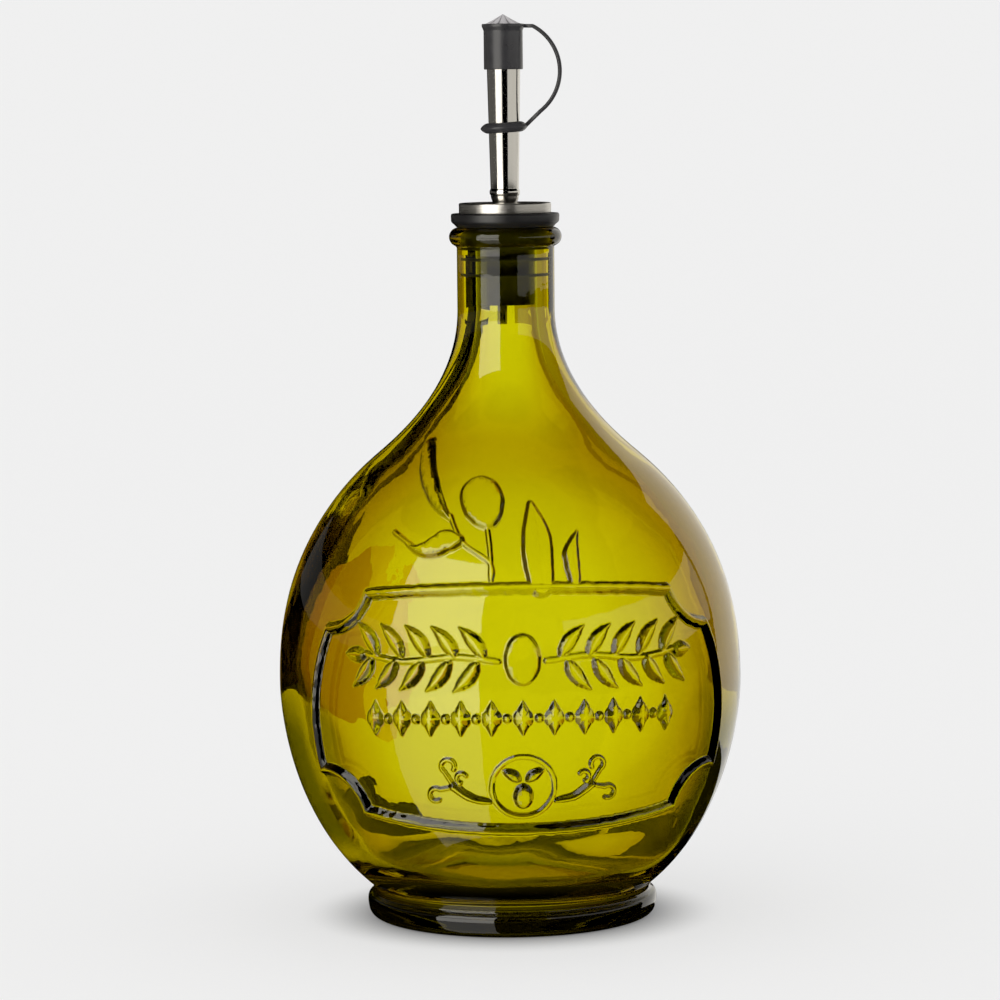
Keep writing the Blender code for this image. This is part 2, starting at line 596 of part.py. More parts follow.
def hold_ring_solid():
    """The ring round the spout that the strap ends in, thick at the tube and thin at its rim."""
    half = HOLD_RING_HALF_THICKNESS
    middle = (HOLD_RING_INNER + HOLD_RING_OUTER) / 2.0
    section = [(HOLD_RING_INNER, half), (HOLD_RING_INNER, -half), (middle, -half * 0.8)]
    section += [(HOLD_RING_OUTER, -half * 0.3), (HOLD_RING_OUTER, half * 0.3), (middle, half * 0.8)]
    bm = bmesh.new()
    turn(bm, section, FITTING_SIDES, closed=True)
    bmesh.ops.rotate(bm, cent=(0, 0, 0), matrix=Matrix.Rotation(-HOLD_RING_TILT, 3, "Y"), verts=bm.verts)
    bmesh.ops.translate(bm, vec=(0.0, 0.0, HOLD_RING_HEIGHT), verts=bm.verts)
    return bm


def build_cap():
    """Soft cap over the end of the spout, moulded in one with its strap and ring."""
    hollow = SPOUT_TOP_RADIUS + GAP
    profile = [(hollow, CAP_BOTTOM), (CAP_RADIUS - 0.15, CAP_BOTTOM), (CAP_RADIUS, CAP_BOTTOM + 0.2)]
    profile += [(CAP_RADIUS, CAP_TOP - 1.3), (CAP_LIP_RADIUS, CAP_TOP - 0.2), (CAP_LIP_RADIUS, CAP_LIP_TOP)]
    profile += [(CROWN_RADIUS + GAP, CAP_LIP_TOP), (CROWN_RADIUS + GAP, CAP_TOP), (0.0, CAP_TOP)]
    profile = [(0.0, CAP_HOLLOW_TOP), (hollow, CAP_HOLLOW_TOP)] + profile
    material = make_material("cap_rubber", RUBBER_COLOUR, 0.42)
    bm = bmesh.new()
    turn(bm, profile, FITTING_SIDES)
    cap = make_object("spout_cap", bm, material)
    extras = bpy.data.collections.new("cap_extras")
    bpy.context.scene.collection.children.link(extras)
    for name, solid in (("strap", strap_solid()), ("hold_ring", hold_ring_solid())):
        piece = make_object("cap_" + name, solid, material)
        bpy.context.scene.collection.objects.unlink(piece)
        extras.objects.link(piece)
    apply_boolean(cap, "UNION", extras)


def build_crown():
    """The pleated, pointed crown that is set in the top of the cap."""
    bm = bmesh.new()
    sides = CROWN_PLEATS * 2
    base, skirt, shoulder = [], [], []
    for side in range(sides):
        angle = math.tau * side / sides
        ridge = side % 2 == 0
        direction = Vector((math.cos(angle), math.sin(angle), 0.0))
        edge = CROWN_BOTTOM + (CROWN_RIDGE_EDGE if ridge else CROWN_VALLEY_EDGE)
        height = CROWN_SHOULDER if ridge else CROWN_VALLEY
        base.append(bm.verts.new(direction * CROWN_RADIUS + Vector((0, 0, CROWN_BOTTOM))))
        skirt.append(bm.verts.new(direction * CROWN_RADIUS + Vector((0, 0, edge))))
        shoulder.append(bm.verts.new(direction * CROWN_SHOULDER_RADIUS + Vector((0, 0, height))))
    tip = bm.verts.new((0, 0, CROWN_TIP))
    for low, high in ((base, skirt), (skirt, shoulder)):
        for side in range(sides):
            following = (side + 1) % sides
            bm.faces.new((low[side], low[following], high[following], high[side]))
    for side in range(sides):
        bm.faces.new((shoulder[side], shoulder[(side + 1) % sides], tip))
    bm.faces.new(list(reversed(base)))
    make_object("cap_crown", bm, make_material("crown_gloss", CROWN_COLOUR, 0.2, metallic=0.6))


def main():
    clear_scene()
    build_bottle()
    build_stopper()
    build_disc()
    build_spout()
    build_vent()
    build_cap()
    build_crown()


main()
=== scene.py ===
"""Looks of the glass oil bottle: moulded glass with ornament, rubber stopper, steel spout and cap."""

import math

import bmesh
import bpy
import numpy as np
from mathutils import Matrix, Vector, geometry, noise


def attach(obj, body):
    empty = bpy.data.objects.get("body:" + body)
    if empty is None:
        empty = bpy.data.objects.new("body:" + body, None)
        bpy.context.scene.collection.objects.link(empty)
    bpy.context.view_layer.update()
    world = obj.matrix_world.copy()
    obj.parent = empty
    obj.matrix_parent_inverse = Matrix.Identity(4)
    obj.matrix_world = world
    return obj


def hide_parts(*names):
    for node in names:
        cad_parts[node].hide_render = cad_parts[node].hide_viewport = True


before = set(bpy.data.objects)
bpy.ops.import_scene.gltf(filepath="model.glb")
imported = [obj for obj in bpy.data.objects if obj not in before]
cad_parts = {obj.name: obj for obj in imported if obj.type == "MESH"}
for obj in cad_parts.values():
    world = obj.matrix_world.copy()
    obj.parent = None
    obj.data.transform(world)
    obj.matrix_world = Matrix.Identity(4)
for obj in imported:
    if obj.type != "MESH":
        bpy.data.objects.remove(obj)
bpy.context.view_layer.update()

# Lengths are in millimetres and are turned into metres when a mesh is made.
# Heights are measured from the surface that the bottle stands on. The label faces -Y.
MM = 0.001

# Outside of the glass
BELLY_RADIUS, BELLY_HEIGHT = 71.0, 73.0
UPPER_REACH, UPPER_POWER, UPPER_ROUNDNESS = 88.05, 2.244, 1.583
LOWER_REACH, LOWER_POWER, LOWER_ROUNDNESS = 74.94, 1.7715, 2.6606
BELLY_LOW_END, SHOULDER_START = 10.0, 143.0
SHOULDER_PULL, NECK_PULL = 10.2, 22.4
NECK_RADIUS, NECK_START = 14.9, 187.0
LIP_BOTTOM, LIP_TOP, LIP_RADIUS = 206.2, 212.0, 17.2
NECK_END = LIP_BOTTOM - 0.6
CURVE_STEP = 0.5
FOOT_RADIUS, FOOT_HEIGHT = 44.8, 7.0
GROOVE_RADIUS = 42.8
REST_RING_INNER, REST_RING_OUTER, UNDERSIDE_RISE = 33.0, 40.8, 3.0

# Inside of the glass
WALL, BORE_RADIUS, RIM_ROUNDING = 5.5, 9.1, 0.8
FLOOR_LOW, FLOOR_PUSH_UP, FLOOR_FLAT_RADIUS, FLOOR_CORNER_HEIGHT = 13.5, 4.0, 30.0, 27.0
HOLLOW_SPACING, CORNER_PULL = 2.4, 9.0

# How the glass is divided: columns round it, rows on it, and the patch that holds the ornament
COLUMN_DEGREES = 3
PATCH_COLUMNS = 22
PATCH_BOTTOM, PATCH_TOP, PATCH_ROWS = 33.0, 150.0, 45
FINE_STEP, MIDDLE_EVERY, COARSE_EVERY = 0.33, 4, 8
NEAR_EDGE, NEAR_SHAPE, PATCH_MARGIN = 0.95, 3.2, 1.3

# Waves that blowing and moulding leave in the surfaces: (wavelength, depth) in millimetres
OUTER_WAVES = ((34.0, 0.10), (9.0, 0.012))
INNER_WAVES = ((42.0, 0.9), (17.0, 0.36), (7.0, 0.03))
BASE_WAVES, BASE_WAVES_TOP, WAVES_FULL_RADIUS = 1.8, 36.0, 30.0
LABEL_WAVES = ((9.5, 0.32), (5.5, 0.07))
LABEL_REACH, LABEL_LOW, LABEL_HIGH, LABEL_FADE_ANGLE, LABEL_FADE_HEIGHT = 60.0, 38.0, 112.0, 15.0, 8.0

# Ornament. Each point is (distance along the girth from the middle of the front, height).
EDGE_WIDTH, EDGE_OUTSIDE = 1.55, 0.5
EDGE_WOBBLE, EDGE_WOBBLE_LENGTH = 0.22, 2.6
LEAF_RISE, STEM_RISE, SCROLL_RISE, BEAD_RISE = 1.45, 1.1, 1.5, 1.2
TWIG_RISE = 1.5
THIN_END, PATH_STEPS = 0.4, 6
ROOF_POWER, ROOF_FOOT, ROOF_OUTSIDE = 1.8, 0.9, 0.15
FULL_RISE_HALF_WIDTH, LEAST_ROUND_RISE, LEAST_FLAT_RISE = 1.6, 0.2, 0.45
VEIN_DEPTH, VEIN_WIDTH, VEIN_REACH = 0.16, 0.4, 1.5
# How the painted shade on the ornament's flanks follows their slope and the way they face
SLOPE_STEP, SHADE_FROM, SHADE_FULL, SHADE_MEAN = 0.2, 0.22, 0.85, 0.66
FRAME_WIDTH, FRAME_RISE = 3.3, 1.8
TOP_CORNER, TOP_SIDE = (48.4, 105.6), (64.6, 94.6)
BOTTOM_SIDE, BOTTOM_CORNER = (68.9, 51.5), (50.0, 40.5)
TOP_BOW, SIDE_BOW, BOTTOM_BOW, TOP_NOTCH, BOTTOM_NOTCH = 2.9, 4.9, 3.9, -2.9, -4.3
SPRIG_LEAVES = (
    (((-20.4, 127.6), (-24.4, 132.4), (-27.0, 138.4), (-27.8, 143.0), (-27.5, 146.8)),
     (0.8, 4.2, 5.6, 5.4, 4.2)),
    (((-17.9, 121.9), (-21.5, 121.6), (-27.0, 119.2), (-31.5, 118.9), (-35.0, 120.6)),
     (3.0, 6.0, 4.8, 2.2, 0.6)),
)
SPRIG_OLIVE = ((-10.2, 132.1), 14.4, 12.6, -14.0, 0.16)
SPRIG_STEMS = (
    ((-33.0, 119.9), (-39.0, 123.3)),
    ((-20.2, 128.6), (-17.0, 121.6), (-8.9, 115.6), (-8.6, 110.5)),
    ((-9.2, 125.6), (-8.6, 118.0), (-8.7, 110.5)),
)
SPRIG_CUT_LEAVES = (
    (((6.0, 109.5), (5.4, 116.0), (5.2, 121.5), (4.6, 127.0), (3.8, 131.8)), (7.4, 8.6, 8.8, 5.6, 1.6)),
    (((16.2, 109.5), (15.6, 114.5), (15.4, 118.5), (17.6, 124.0)), (3.4, 4.4, 4.4, 0.5)),
)
STEM_WIDTH = 1.3
GARLAND_HEIGHT, GARLAND_OLIVE = 88.0, ((0.0, 88.0), 15.0, 10.5, 0.0, 0.0)
GARLAND_STEM = ((7.0, 87.6), (20.0, 88.8), (36.0, 87.0), (49.0, 88.4))
GARLAND_STEM_WIDTH = 1.8
GARLAND_PAIRS, GARLAND_FIRST, GARLAND_STEP = 5, 11.0, 8.4
GARLAND_LEAF_REACH, GARLAND_LEAF_RISE, GARLAND_LEAF_WIDTH = 7.5, 9.3, 4.5
GARLAND_LEAF_BEND, GARLAND_LOWER_SHIFT, GARLAND_END_LEAF = 0.9, 2.0, (49.0, 57.0)
LOZENGES_EACH_SIDE, LOZENGE_STEP = 5, 9.2
LOZENGE_HEIGHT, LOZENGE_SAG, LOZENGE_REACH, LOZENGE_WIDTH, BEAD_SIZE = 70.9, 0.00055, 5.0, 6.0, 2.8
RING_HEIGHT, RING_RADIUS, RING_WIDTH, RING_RISE = 50.1, 9.3, 1.5, 0.8
MEDAL_OLIVE = ((0.0, 47.2), 7.4, 5.4, 0.0, 0.0)
MEDAL_LEAF = ((0.9, 51.8), (6.2, 55.2), 3.0, 0.5)
SCROLL_STEM, SCROLL_STEM_WIDTHS = ((9.6, 45.6), (15.0, 46.6), (20.6, 50.2)), (1.2, 2.3, 2.6)
SCROLL_ROOT, SCROLL_WIDTH = (20.4, 50.0), 1.2
SCROLL_CURLS = (
    ((22.4, 56.4), 2.0, -60, 210),
    ((18.2, 52.8), 1.5, -75, 150),
    ((26.0, 47.4), 2.0, 125, -120),
)

# Rubber stopper. The fins press into the glass of the bore.
PLUG_BOTTOM, PLUG_CORE_RADIUS, PLUG_FIN_RADIUS = 188.5, 8.9, BORE_RADIUS + 0.03
FIN_LOWEST, FIN_SPACING, FIN_COUNT, FIN_HEIGHT, TIGHT_FROM = 197.2, 4.8, 2, 1.2, 205.4
FLANGE_BOTTOM, FLANGE_TOP = LIP_TOP + 0.05, 216.2
FLANGE_BOTTOM_RADIUS, FLANGE_TOP_RADIUS = 15.2, 16.6
WEB_TOP, SPOUT_HOLE = 192.0, 3.65
VENT_X, VENT_RADIUS, VENT_BORE = -1.1, 1.5, 0.9
VENT_BOTTOM, VENT_TOP = 182.35, 196.0
POUR_HOLE_X, POUR_HOLE_RADIUS = 2.35, 1.2

# Steel disc and spout
DISC_BOTTOM, DISC_TOP, DISC_RADIUS, DISC_EDGE = 216.22, 219.4, 14.1, 0.35
SPOUT_ROOT_RADIUS, SPOUT_LOW_RADIUS, SPOUT_TOP_RADIUS, SPOUT_WALL = 3.6, 4.3, 5.1, 0.6
SPOUT_BOTTOM, SPOUT_TOP = 192.3, 270.0
SPOUT_BEAD_HEIGHT, SPOUT_BEAD_RADIUS, SPOUT_STRAIGHT_START = 222.7, 4.65, 223.6

# Rubber cap with its strap and ring, and the crown
CAP_BOTTOM, CAP_TOP, CAP_RADIUS, CAP_LIP_RADIUS, CAP_LIP_TOP = 259.9, 273.0, 5.95, 6.5, 273.7
CAP_HOLLOW_TOP, CAP_HOLLOW_RADIUS = 271.0, 5.2
CROWN_BOTTOM, CROWN_RADIUS, CROWN_TIP, CROWN_PLEATS = 273.05, 5.35, 276.65, 8
CROWN_VALLEY_DEPTH, CROWN_VALLEY_WIDTH, CROWN_EDGE, CROWN_CURVE = 0.55, 0.16, 0.7, 1.12
# Columns and rows of the crown, and its painted shade at the tip and round the skirt
CROWN_COLUMNS, CROWN_ROWS, CROWN_TIP_SHADE, CROWN_SKIRT_SHADE = CROWN_PLEATS * 16, 14, 0.3, 0.8
STRAP_CENTRE, STRAP_RADIUS, STRAP_START, STRAP_FINISH = (1.8, 259.4), 15.4, 62.0, -52.0
STRAP_ROOT, STRAP_END, STRAP_THICKNESS, STRAP_WIDTH = (5.95, 273.05), (6.6, 242.8), 1.1, 3.0
HOLD_RING_HEIGHT, HOLD_RING_INNER, HOLD_RING_OUTER = 242.3, 4.9, 7.2
HOLD_RING_HALF_THICKNESS, HOLD_RING_TILT = 1.45, 3.2
ROUND_SIDES = 96

# Camera
CAMERA_DISTANCE, CAMERA_HEIGHT, CAMERA_SIDE, CAMERA_PITCH = 1300.0, 255.0, -3.0, 5.571
CAMERA_YAW, CAMERA_ROLL, CAMERA_LENS = 0.11, -0.63, 152.93

# Colours of the glass. Tints lie on its surface, by how far it slants from the view (0 to 1) and by height.
# The flank, foot and low rim colours are painted shade.
SLANT_START, SLANT_END, SLANT_TINT = 0.02, 0.60, (0.56, 0.37, 0.10)
GLASS_TINTS = (0.90, 0.883, 0.38), (0.88, 0.857, 0.33)
GLASS_COLOUR, GLASS_DENSITY = (0.980, 0.975, 0.05), 420.0
# Painted shade on the ornament's flanks
FLANK_PAINTED_SHADE = (0.006, 0.004, 0.001)
# Painted shade on the foot: full up to the first height, gone above the second
FOOT_PAINTED_SHADE, FOOT_SHADE_FULL, FOOT_SHADE_END = (0.010, 0.009, 0.005), 7.4, 9.0
# Painted shade at the slanted sides of the body low down, between the heights below
RIM_START, RIM_END, LOW_RIM_PAINTED_SHADE = 0.44, 0.68, (0.04, 0.032, 0.010)
RIM_TOP, RIM_FULL, RIM_FULL_BOTTOM, RIM_BOTTOM = 88.0, 58.0, 30.0, 17.0
GLASS_IOR, GLASS_MOTTLE, GLASS_ROUGHNESS = 1.5, 18.0, (0.0, 0.012)
GLASS_RIPPLE, RIPPLE_STRENGTH, RIPPLE_DEPTH = 130.0, 0.05, 0.0006

# Finishes: darker and lighter colour, lowest and highest roughness, and for steel its grain along X, Y, Z.
# The scales of mottle, ripple and grain are in waves per metre, and the depths of bumps in metres.
STOPPER_FINISH = (0.012, 0.0115, 0.0115), (0.017, 0.016, 0.016), 0.30, 0.42
CAP_FINISH = (0.034, 0.033, 0.035), (0.046, 0.045, 0.047), 0.26, 0.36
RUBBER_MOTTLE, RUBBER_GRAIN, RUBBER_BUMP, RUBBER_DEPTH = 260.0, 4200.0, 0.12, 0.00004
DISC_FINISH = (0.56, 0.54, 0.50), (0.66, 0.64, 0.60), 0.26, 0.36, (60.0, 60.0, 4000.0)
SPOUT_FINISH = (0.64, 0.62, 0.58), (0.72, 0.70, 0.66), 0.09, 0.15, (500.0, 500.0, 30.0)
VENT_FINISH = (0.50, 0.46, 0.42), (0.60, 0.56, 0.52), 0.18, 0.28, (900.0, 900.0, 60.0)
STEEL_BUMP, STEEL_DEPTH = 0.08, 0.00002
# The crown's colours, and its fold colour, which is painted shade
CROWN_COLOURS, CROWN_FOLD_PAINTED_SHADE = ((0.52, 0.50, 0.51), (0.60, 0.58, 0.59)), (0.05, 0.045, 0.05)
CROWN_MOTTLE, CROWN_ROUGHNESS, CROWN_BUMP, CROWN_DEPTH = 600.0, (0.12, 0.22), 0.05, 0.00004

# Studio. The bowl is floor and backdrop in one. It glows a little, except under the bottle, where the
# missing glow is a painted shadow.
# The panels' places were found by trial. They make the bright patches and dark bands of the glass.
BOWL_FLOOR_RADIUS, BOWL_CURVE, BOWL_HEIGHT = 2000.0, 900.0, 3400.0
WORLD_LIGHT = 0.82
GLASS_BOUNCES, GLOSSY_BOUNCES, DIFFUSE_BOUNCES = 40, 16, 4
# The glow is cut to a painted shadow under the bottle: full inside the first radius, gone past the second
BOWL_PALE, BOWL_GLOW, PAINTED_SHADOW_CORE, PAINTED_SHADOW_EDGE = 0.32, 0.592, 30.0, 66.0

# Panels that show only in reflections: (name, start, end, low, high, strength), in degrees from the front
KEY_DISTANCE, KEY_COLOUR = 900.0, (1.0, 0.975, 0.91)
KEY_PANELS = (
    ("stage_key_high", -64.0, -17.0, 248.0, 980.0, 3.6),
    ("stage_key_steel", -64.0, -17.0, 162.0, 247.9, 1.5),
    ("stage_key_low", -64.0, -17.0, -165.0, 161.9, 3.3),
    ("stage_low_light", -64.0, -17.0, -1500.0, -166.0, 0.9),
    ("stage_side_light", 24.0, 118.0, 150.0, 420.0, 0.74),
    ("stage_rim_light", 120.0, 166.0, -200.0, 700.0, 0.9),
    ("stage_left_fill", -150.0, -66.0, 160.0, 330.0, 0.12),
)

# Panel that lights only matt surfaces, laid out as the ones above
SOFT_DISTANCE, SOFT_COLOUR = 1800.0, (1.0, 0.98, 0.94)
SOFT_PANELS = (("stage_soft_light", -70.0, -15.0, 500.0, 1700.0, 1.4),)

# Panels that show only through the glass: (name, start, end, low, high, distance, colour)
BLACK, SOOT, GREY, DIM = (0.0, 0.0, 0.0), (0.05, 0.05, 0.04), (0.40, 0.40, 0.40), (0.36, 0.30, 0.20)
BROWN, DIM_BROWN, LIGHT_BROWN = (0.60, 0.39, 0.28), (0.48, 0.40, 0.36), (0.80, 0.66, 0.56)
DARK_PANELS = (
    ("stage_dark_left", -157.0, -112.0, 0.0, 600.0, 400.0, BLACK),
    ("stage_dark_left_high", -165.0, -157.1, 90.0, 145.0, 400.0, BLACK),
    ("stage_brown_left", -170.0, -157.1, 0.0, 89.9, 400.0, BROWN),
    ("stage_light_brown_left", -174.0, -170.1, 0.0, 89.9, 400.0, LIGHT_BROWN),
    ("stage_dark_neck", -172.0, -157.1, 166.0, 194.0, 400.0, BLACK),
    ("stage_dim_neck", 154.1, 172.0, 166.0, 194.0, 400.0, DIM_BROWN),
    ("stage_dark_right", 112.0, 154.0, 0.0, 600.0, 400.0, DIM),
    ("stage_dark_side", 80.0, 112.0, 0.0, 600.0, 600.0, GREY),
    ("stage_dark_front", -68.0, 80.0, 0.0, 1200.0, 900.0, BLACK),
)

# Flat pieces just over the floor, also seen only through the glass: (name, start, end, near, far, colour)
DARK_FLOOR_HEIGHT = 0.35
DARK_FLOORS = (
    ("stage_floor_left", -163.0, -147.0, 70.0, 230.0, BLACK),
    ("stage_floor_right", 112.0, 148.0, 62.0, 250.0, SOOT),
)


# Curves in a plane

def arc(centre, radius, start, end, steps):
    """Points on an arc, from one angle to another in degrees."""
    points = []
    for step in range(steps + 1):
        angle = math.radians(start + (end - start) * step / steps)
        points.append((centre[0] + radius * math.cos(angle), centre[1] + radius * math.sin(angle)))
    return points


def line(start, end, steps):
    """Points on a straight line."""
    shares = [step / steps for step in range(steps + 1)]
    return [(start[0] + (end[0] - start[0]) * share, start[1] + (end[1] - start[1]) * share)
            for share in shares]


def bow(start, end, rise, steps):
    """Points on an arc that rises to the left of the straight line from start to end, or along the line."""
    if rise == 0.0:
        return line(start, end, steps)
    chord = math.hypot(end[0] - start[0], end[1] - start[1])
    along = ((end[0] - start[0]) / chord, (end[1] - start[1]) / chord)
    across = (-along[1], along[0])
    radius = (chord * chord / 4.0 + rise * rise) / (2.0 * rise)
    half_angle = math.asin(chord / (2.0 * radius))
    points = []
    for step in range(steps + 1):
        angle = half_angle * (2.0 * step / steps - 1.0)
        forward = chord / 2.0 + radius * math.sin(angle)
        aside = rise - radius * (1.0 - math.cos(angle))
        points.append((start[0] + along[0] * forward + across[0] * aside,
                       start[1] + along[1] * forward + across[1] * aside))
    return points


def bezier(points, steps):
    """Points on a cubic curve, given its two ends and the two points that pull it."""
    first, second, third, fourth = (Vector(point) for point in points)
    curve = []
    for step in range(steps + 1):
        t = step / steps
        s = 1.0 - t
        curve.append(tuple(s**3 * first + 3 * s * s * t * second + 3 * s * t * t * third + t**3 * fourth))
    return curve


def smooth_path(points, steps):
    """A smooth curve through a few points, with the same number of steps between each two."""
    path = []
    padded = [points[0]] + list(points) + [points[-1]]
    for index in range(1, len(padded) - 2):
        p0, p1, p2, p3 = (Vector(padded[index + offset]) for offset in (-1, 0, 1, 2))
        for step in range(steps):
            t = step / steps
            path.append(tuple(0.5 * ((2 * p1) + (p2 - p0) * t + (2 * p0 - 5 * p1 + 4 * p2 - p3) * t * t
                                     + (3 * p1 - p0 - 3 * p2 + p3) * t**3)))
    path.append(tuple(points[-1]))
    return path


def mirrored(point, side):
    return (side * point[0], point[1])


# Meshes

def make_object(name, vertices, faces, material):
    """Make a smooth object from vertices in millimetres, its normals facing out."""
    mesh = bpy.data.meshes.new(name)
    mesh.from_pydata([tuple(vertex) for vertex in np.asarray(vertices, float) * MM], [], faces)
    mesh.materials.append(material)
    bm = bmesh.new()
    bm.from_mesh(mesh)
    bmesh.ops.recalc_face_normals(bm, faces=bm.faces)
    bm.to_mesh(mesh)
    bm.free()
    mesh.shade_smooth()
    new_object = bpy.data.objects.new(name, mesh)
    bpy.context.scene.collection.objects.link(new_object)
    return new_object


def turned(profile, sides, closed=False):
    """Turn a profile of (radius, height) points about Z. A point at radius 0 becomes a single pole."""
    vertices, faces, rings = [], [], []
    for radius, height in profile:
        if radius == 0.0:
            rings.append([len(vertices)])
            vertices.append((0.0, 0.0, height))
            continue
        rings.append(list(range(len(vertices), len(vertices) + sides)))
        for side in range(sides):
            angle = math.tau * side / sides
            vertices.append((radius * math.sin(angle), -radius * math.cos(angle), height))
    pairs = list(zip(rings, rings[1:]))
    if closed:
        pairs.append((rings[-1], rings[0]))
    for low, high in pairs:
        for side in range(sides):
            following = (side + 1) % sides
            corners = [low[side % len(low)], low[following % len(low)]]
            corners += [high[following % len(high)], high[side % len(high)]]
            faces.append(list(dict.fromkeys(corners)))
    return vertices, faces


def rounded(profile, radius, steps=4):
    """The same profile with each corner cut to a small curve."""
    points = [Vector(point) for point in profile]
    result = [tuple(points[0])]
    for before, corner, after in zip(points, points[1:], points[2:]):
        back, ahead = before - corner, after - corner
        reach = min(radius, back.length * 0.45, ahead.length * 0.45)
        start = corner + back.normalized() * reach
        end = corner + ahead.normalized() * reach
        for step in range(steps + 1):
            t = step / steps
            result.append(tuple(start * (1 - t)**2 + corner * 2 * t * (1 - t) + end * t * t))
    result.append(tuple(points[-1]))
    return result


def ride_for(piece, node):
    """The piece rides on the bottle and stands for a CAD node, which is hidden."""
    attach(piece, "root")
    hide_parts(node)


# Shape of the glass

def belly_radius(height):
    """Outer radius of the round body between its foot and its shoulder."""
    if height >= BELLY_HEIGHT:
        share = (height - BELLY_HEIGHT) / UPPER_REACH
        return BELLY_RADIUS * (1.0 - share**UPPER_POWER) ** (1.0 / UPPER_ROUNDNESS)
    share = (BELLY_HEIGHT - height) / LOWER_REACH
    return BELLY_RADIUS * (1.0 - share**LOWER_POWER) ** (1.0 / LOWER_ROUNDNESS)


def wall_curve():
    """The outside of the body and neck in fine steps, as an array of (radius, height)."""
    heights = np.arange(BELLY_LOW_END, SHOULDER_START, CURVE_STEP)
    points = [(belly_radius(height), height) for height in heights]
    start = (belly_radius(SHOULDER_START), SHOULDER_START)
    below = belly_radius(SHOULDER_START - CURVE_STEP)
    slope = Vector((start[0] - below, CURVE_STEP)).normalized() * SHOULDER_PULL
    leave = (start[0] + slope.x, start[1] + slope.y)
    arrive = (NECK_RADIUS, NECK_START - NECK_PULL)
    points += bezier([start, leave, arrive, (NECK_RADIUS, NECK_START)], 90)
    points += line((NECK_RADIUS, NECK_START), (NECK_RADIUS, NECK_END), 30)[1:]
    return np.array(points)


WALL_CURVE = wall_curve()
WALL_SLOPE = np.gradient(WALL_CURVE[:, 0], WALL_CURVE[:, 1])


def glass_radius(heights):
    return np.interp(heights, WALL_CURVE[:, 1], WALL_CURVE[:, 0])


def wall_levels():
    """Heights of the rows of vertices on the outside, with the patch's rows among them."""
    low = np.linspace(BELLY_LOW_END, PATCH_BOTTOM, 13)[:-1]
    middle = np.linspace(PATCH_BOTTOM, PATCH_TOP, PATCH_ROWS + 1)
    high = np.linspace(PATCH_TOP, NECK_END, 27)[1:]
    return np.concatenate([low, middle, high])


def foot_profile():
    """Underside and foot ring, from the middle of the underside up to the groove above the ring."""
    points = [(0.0, UNDERSIDE_RISE)]
    for share in np.linspace(0.1, 1.0, 10):
        points.append((REST_RING_INNER * share, UNDERSIDE_RISE * (1.0 - share**2.2)))
    points += line((REST_RING_INNER, 0.0), (REST_RING_OUTER, 0.0), 3)[1:]
    points += bezier([(REST_RING_OUTER, 0.0), (REST_RING_OUTER + 2.0, 0.0),
                      (FOOT_RADIUS - 0.7, 0.8), (FOOT_RADIUS - 0.4, 2.8)], 12)[1:]
    points += bezier([(FOOT_RADIUS - 0.4, 2.8), (FOOT_RADIUS, 4.6), (FOOT_RADIUS, FOOT_HEIGHT - 0.4),
                      (FOOT_RADIUS - 0.9, FOOT_HEIGHT)], 10)[1:]
    points += bezier([(FOOT_RADIUS - 0.9, FOOT_HEIGHT), (GROOVE_RADIUS + 0.2, FOOT_HEIGHT + 0.25),
                      (GROOVE_RADIUS, FOOT_HEIGHT + 0.5), (GROOVE_RADIUS, FOOT_HEIGHT + 1.2)], 6)[1:]
    body_start = (belly_radius(BELLY_LOW_END), BELLY_LOW_END)
    points += line((GROOVE_RADIUS, FOOT_HEIGHT + 1.2), body_start, 3)[1:-1]
    return points


def lip_profile():
    """The rounded band at the mouth, from the neck round its outside and down the bore."""
    half = (LIP_TOP - LIP_BOTTOM) / 2.0
    middle = (LIP_RADIUS - half, LIP_BOTTOM + half)
    points = [(NECK_RADIUS + 0.05, LIP_BOTTOM - 0.2), (NECK_RADIUS + 0.35, LIP_BOTTOM + 0.1)]
    points += arc(middle, half, -75, 90, 22)
    points += line((LIP_RADIUS - half, LIP_TOP), (BORE_RADIUS + RIM_ROUNDING, LIP_TOP), 4)[1:]
    points += arc((BORE_RADIUS + RIM_ROUNDING, LIP_TOP - RIM_ROUNDING), RIM_ROUNDING, 90, 180, 6)[1:]
    points += line((BORE_RADIUS, LIP_TOP - RIM_ROUNDING), (BORE_RADIUS, NECK_START), 14)[1:]
    return points


def hollow_profile():
    """The inside, from below the bore down the wall and across the floor to the middle."""
    inner = []
    for (radius, height), slope in zip(WALL_CURVE[::-1], WALL_SLOPE[::-1]):
        length = math.hypot(1.0, slope)
        radius_in, height_in = radius - WALL / length, height + WALL * slope / length
        in_body = FLOOR_CORNER_HEIGHT < height_in < NECK_START - 2.0 and radius_in > BORE_RADIUS + 0.2
        if in_body and (not inner or math.dist(inner[-1], (radius_in, height_in)) > HOLLOW_SPACING):
            inner.append((radius_in, height_in))
    wall_end = Vector(inner[-1])
    down = (wall_end - Vector(inner[-2])).normalized() * CORNER_PULL
    corner = bezier([inner[-1], tuple(wall_end + down), (FLOOR_FLAT_RADIUS + CORNER_PULL, FLOOR_LOW),
                     (FLOOR_FLAT_RADIUS, FLOOR_LOW)], 12)
    floor = []
    for share in np.linspace(0.92, 0.0, 13):
        rise = FLOOR_PUSH_UP * (1.0 + math.cos(math.pi * share)) / 2.0
        floor.append((FLOOR_FLAT_RADIUS * share, FLOOR_LOW + rise))
    return inner + corner[1:] + floor


def waves(point, layers, seed):
    """How far the surface lies from true at a point in space."""
    depth = 0.0
    for layer, (length, size) in enumerate(layers):
        place = Vector(point) / length
        depth += size * noise.noise(place + Vector((seed, layer * 7.3, seed * 0.5)))
    return depth


# Ornament

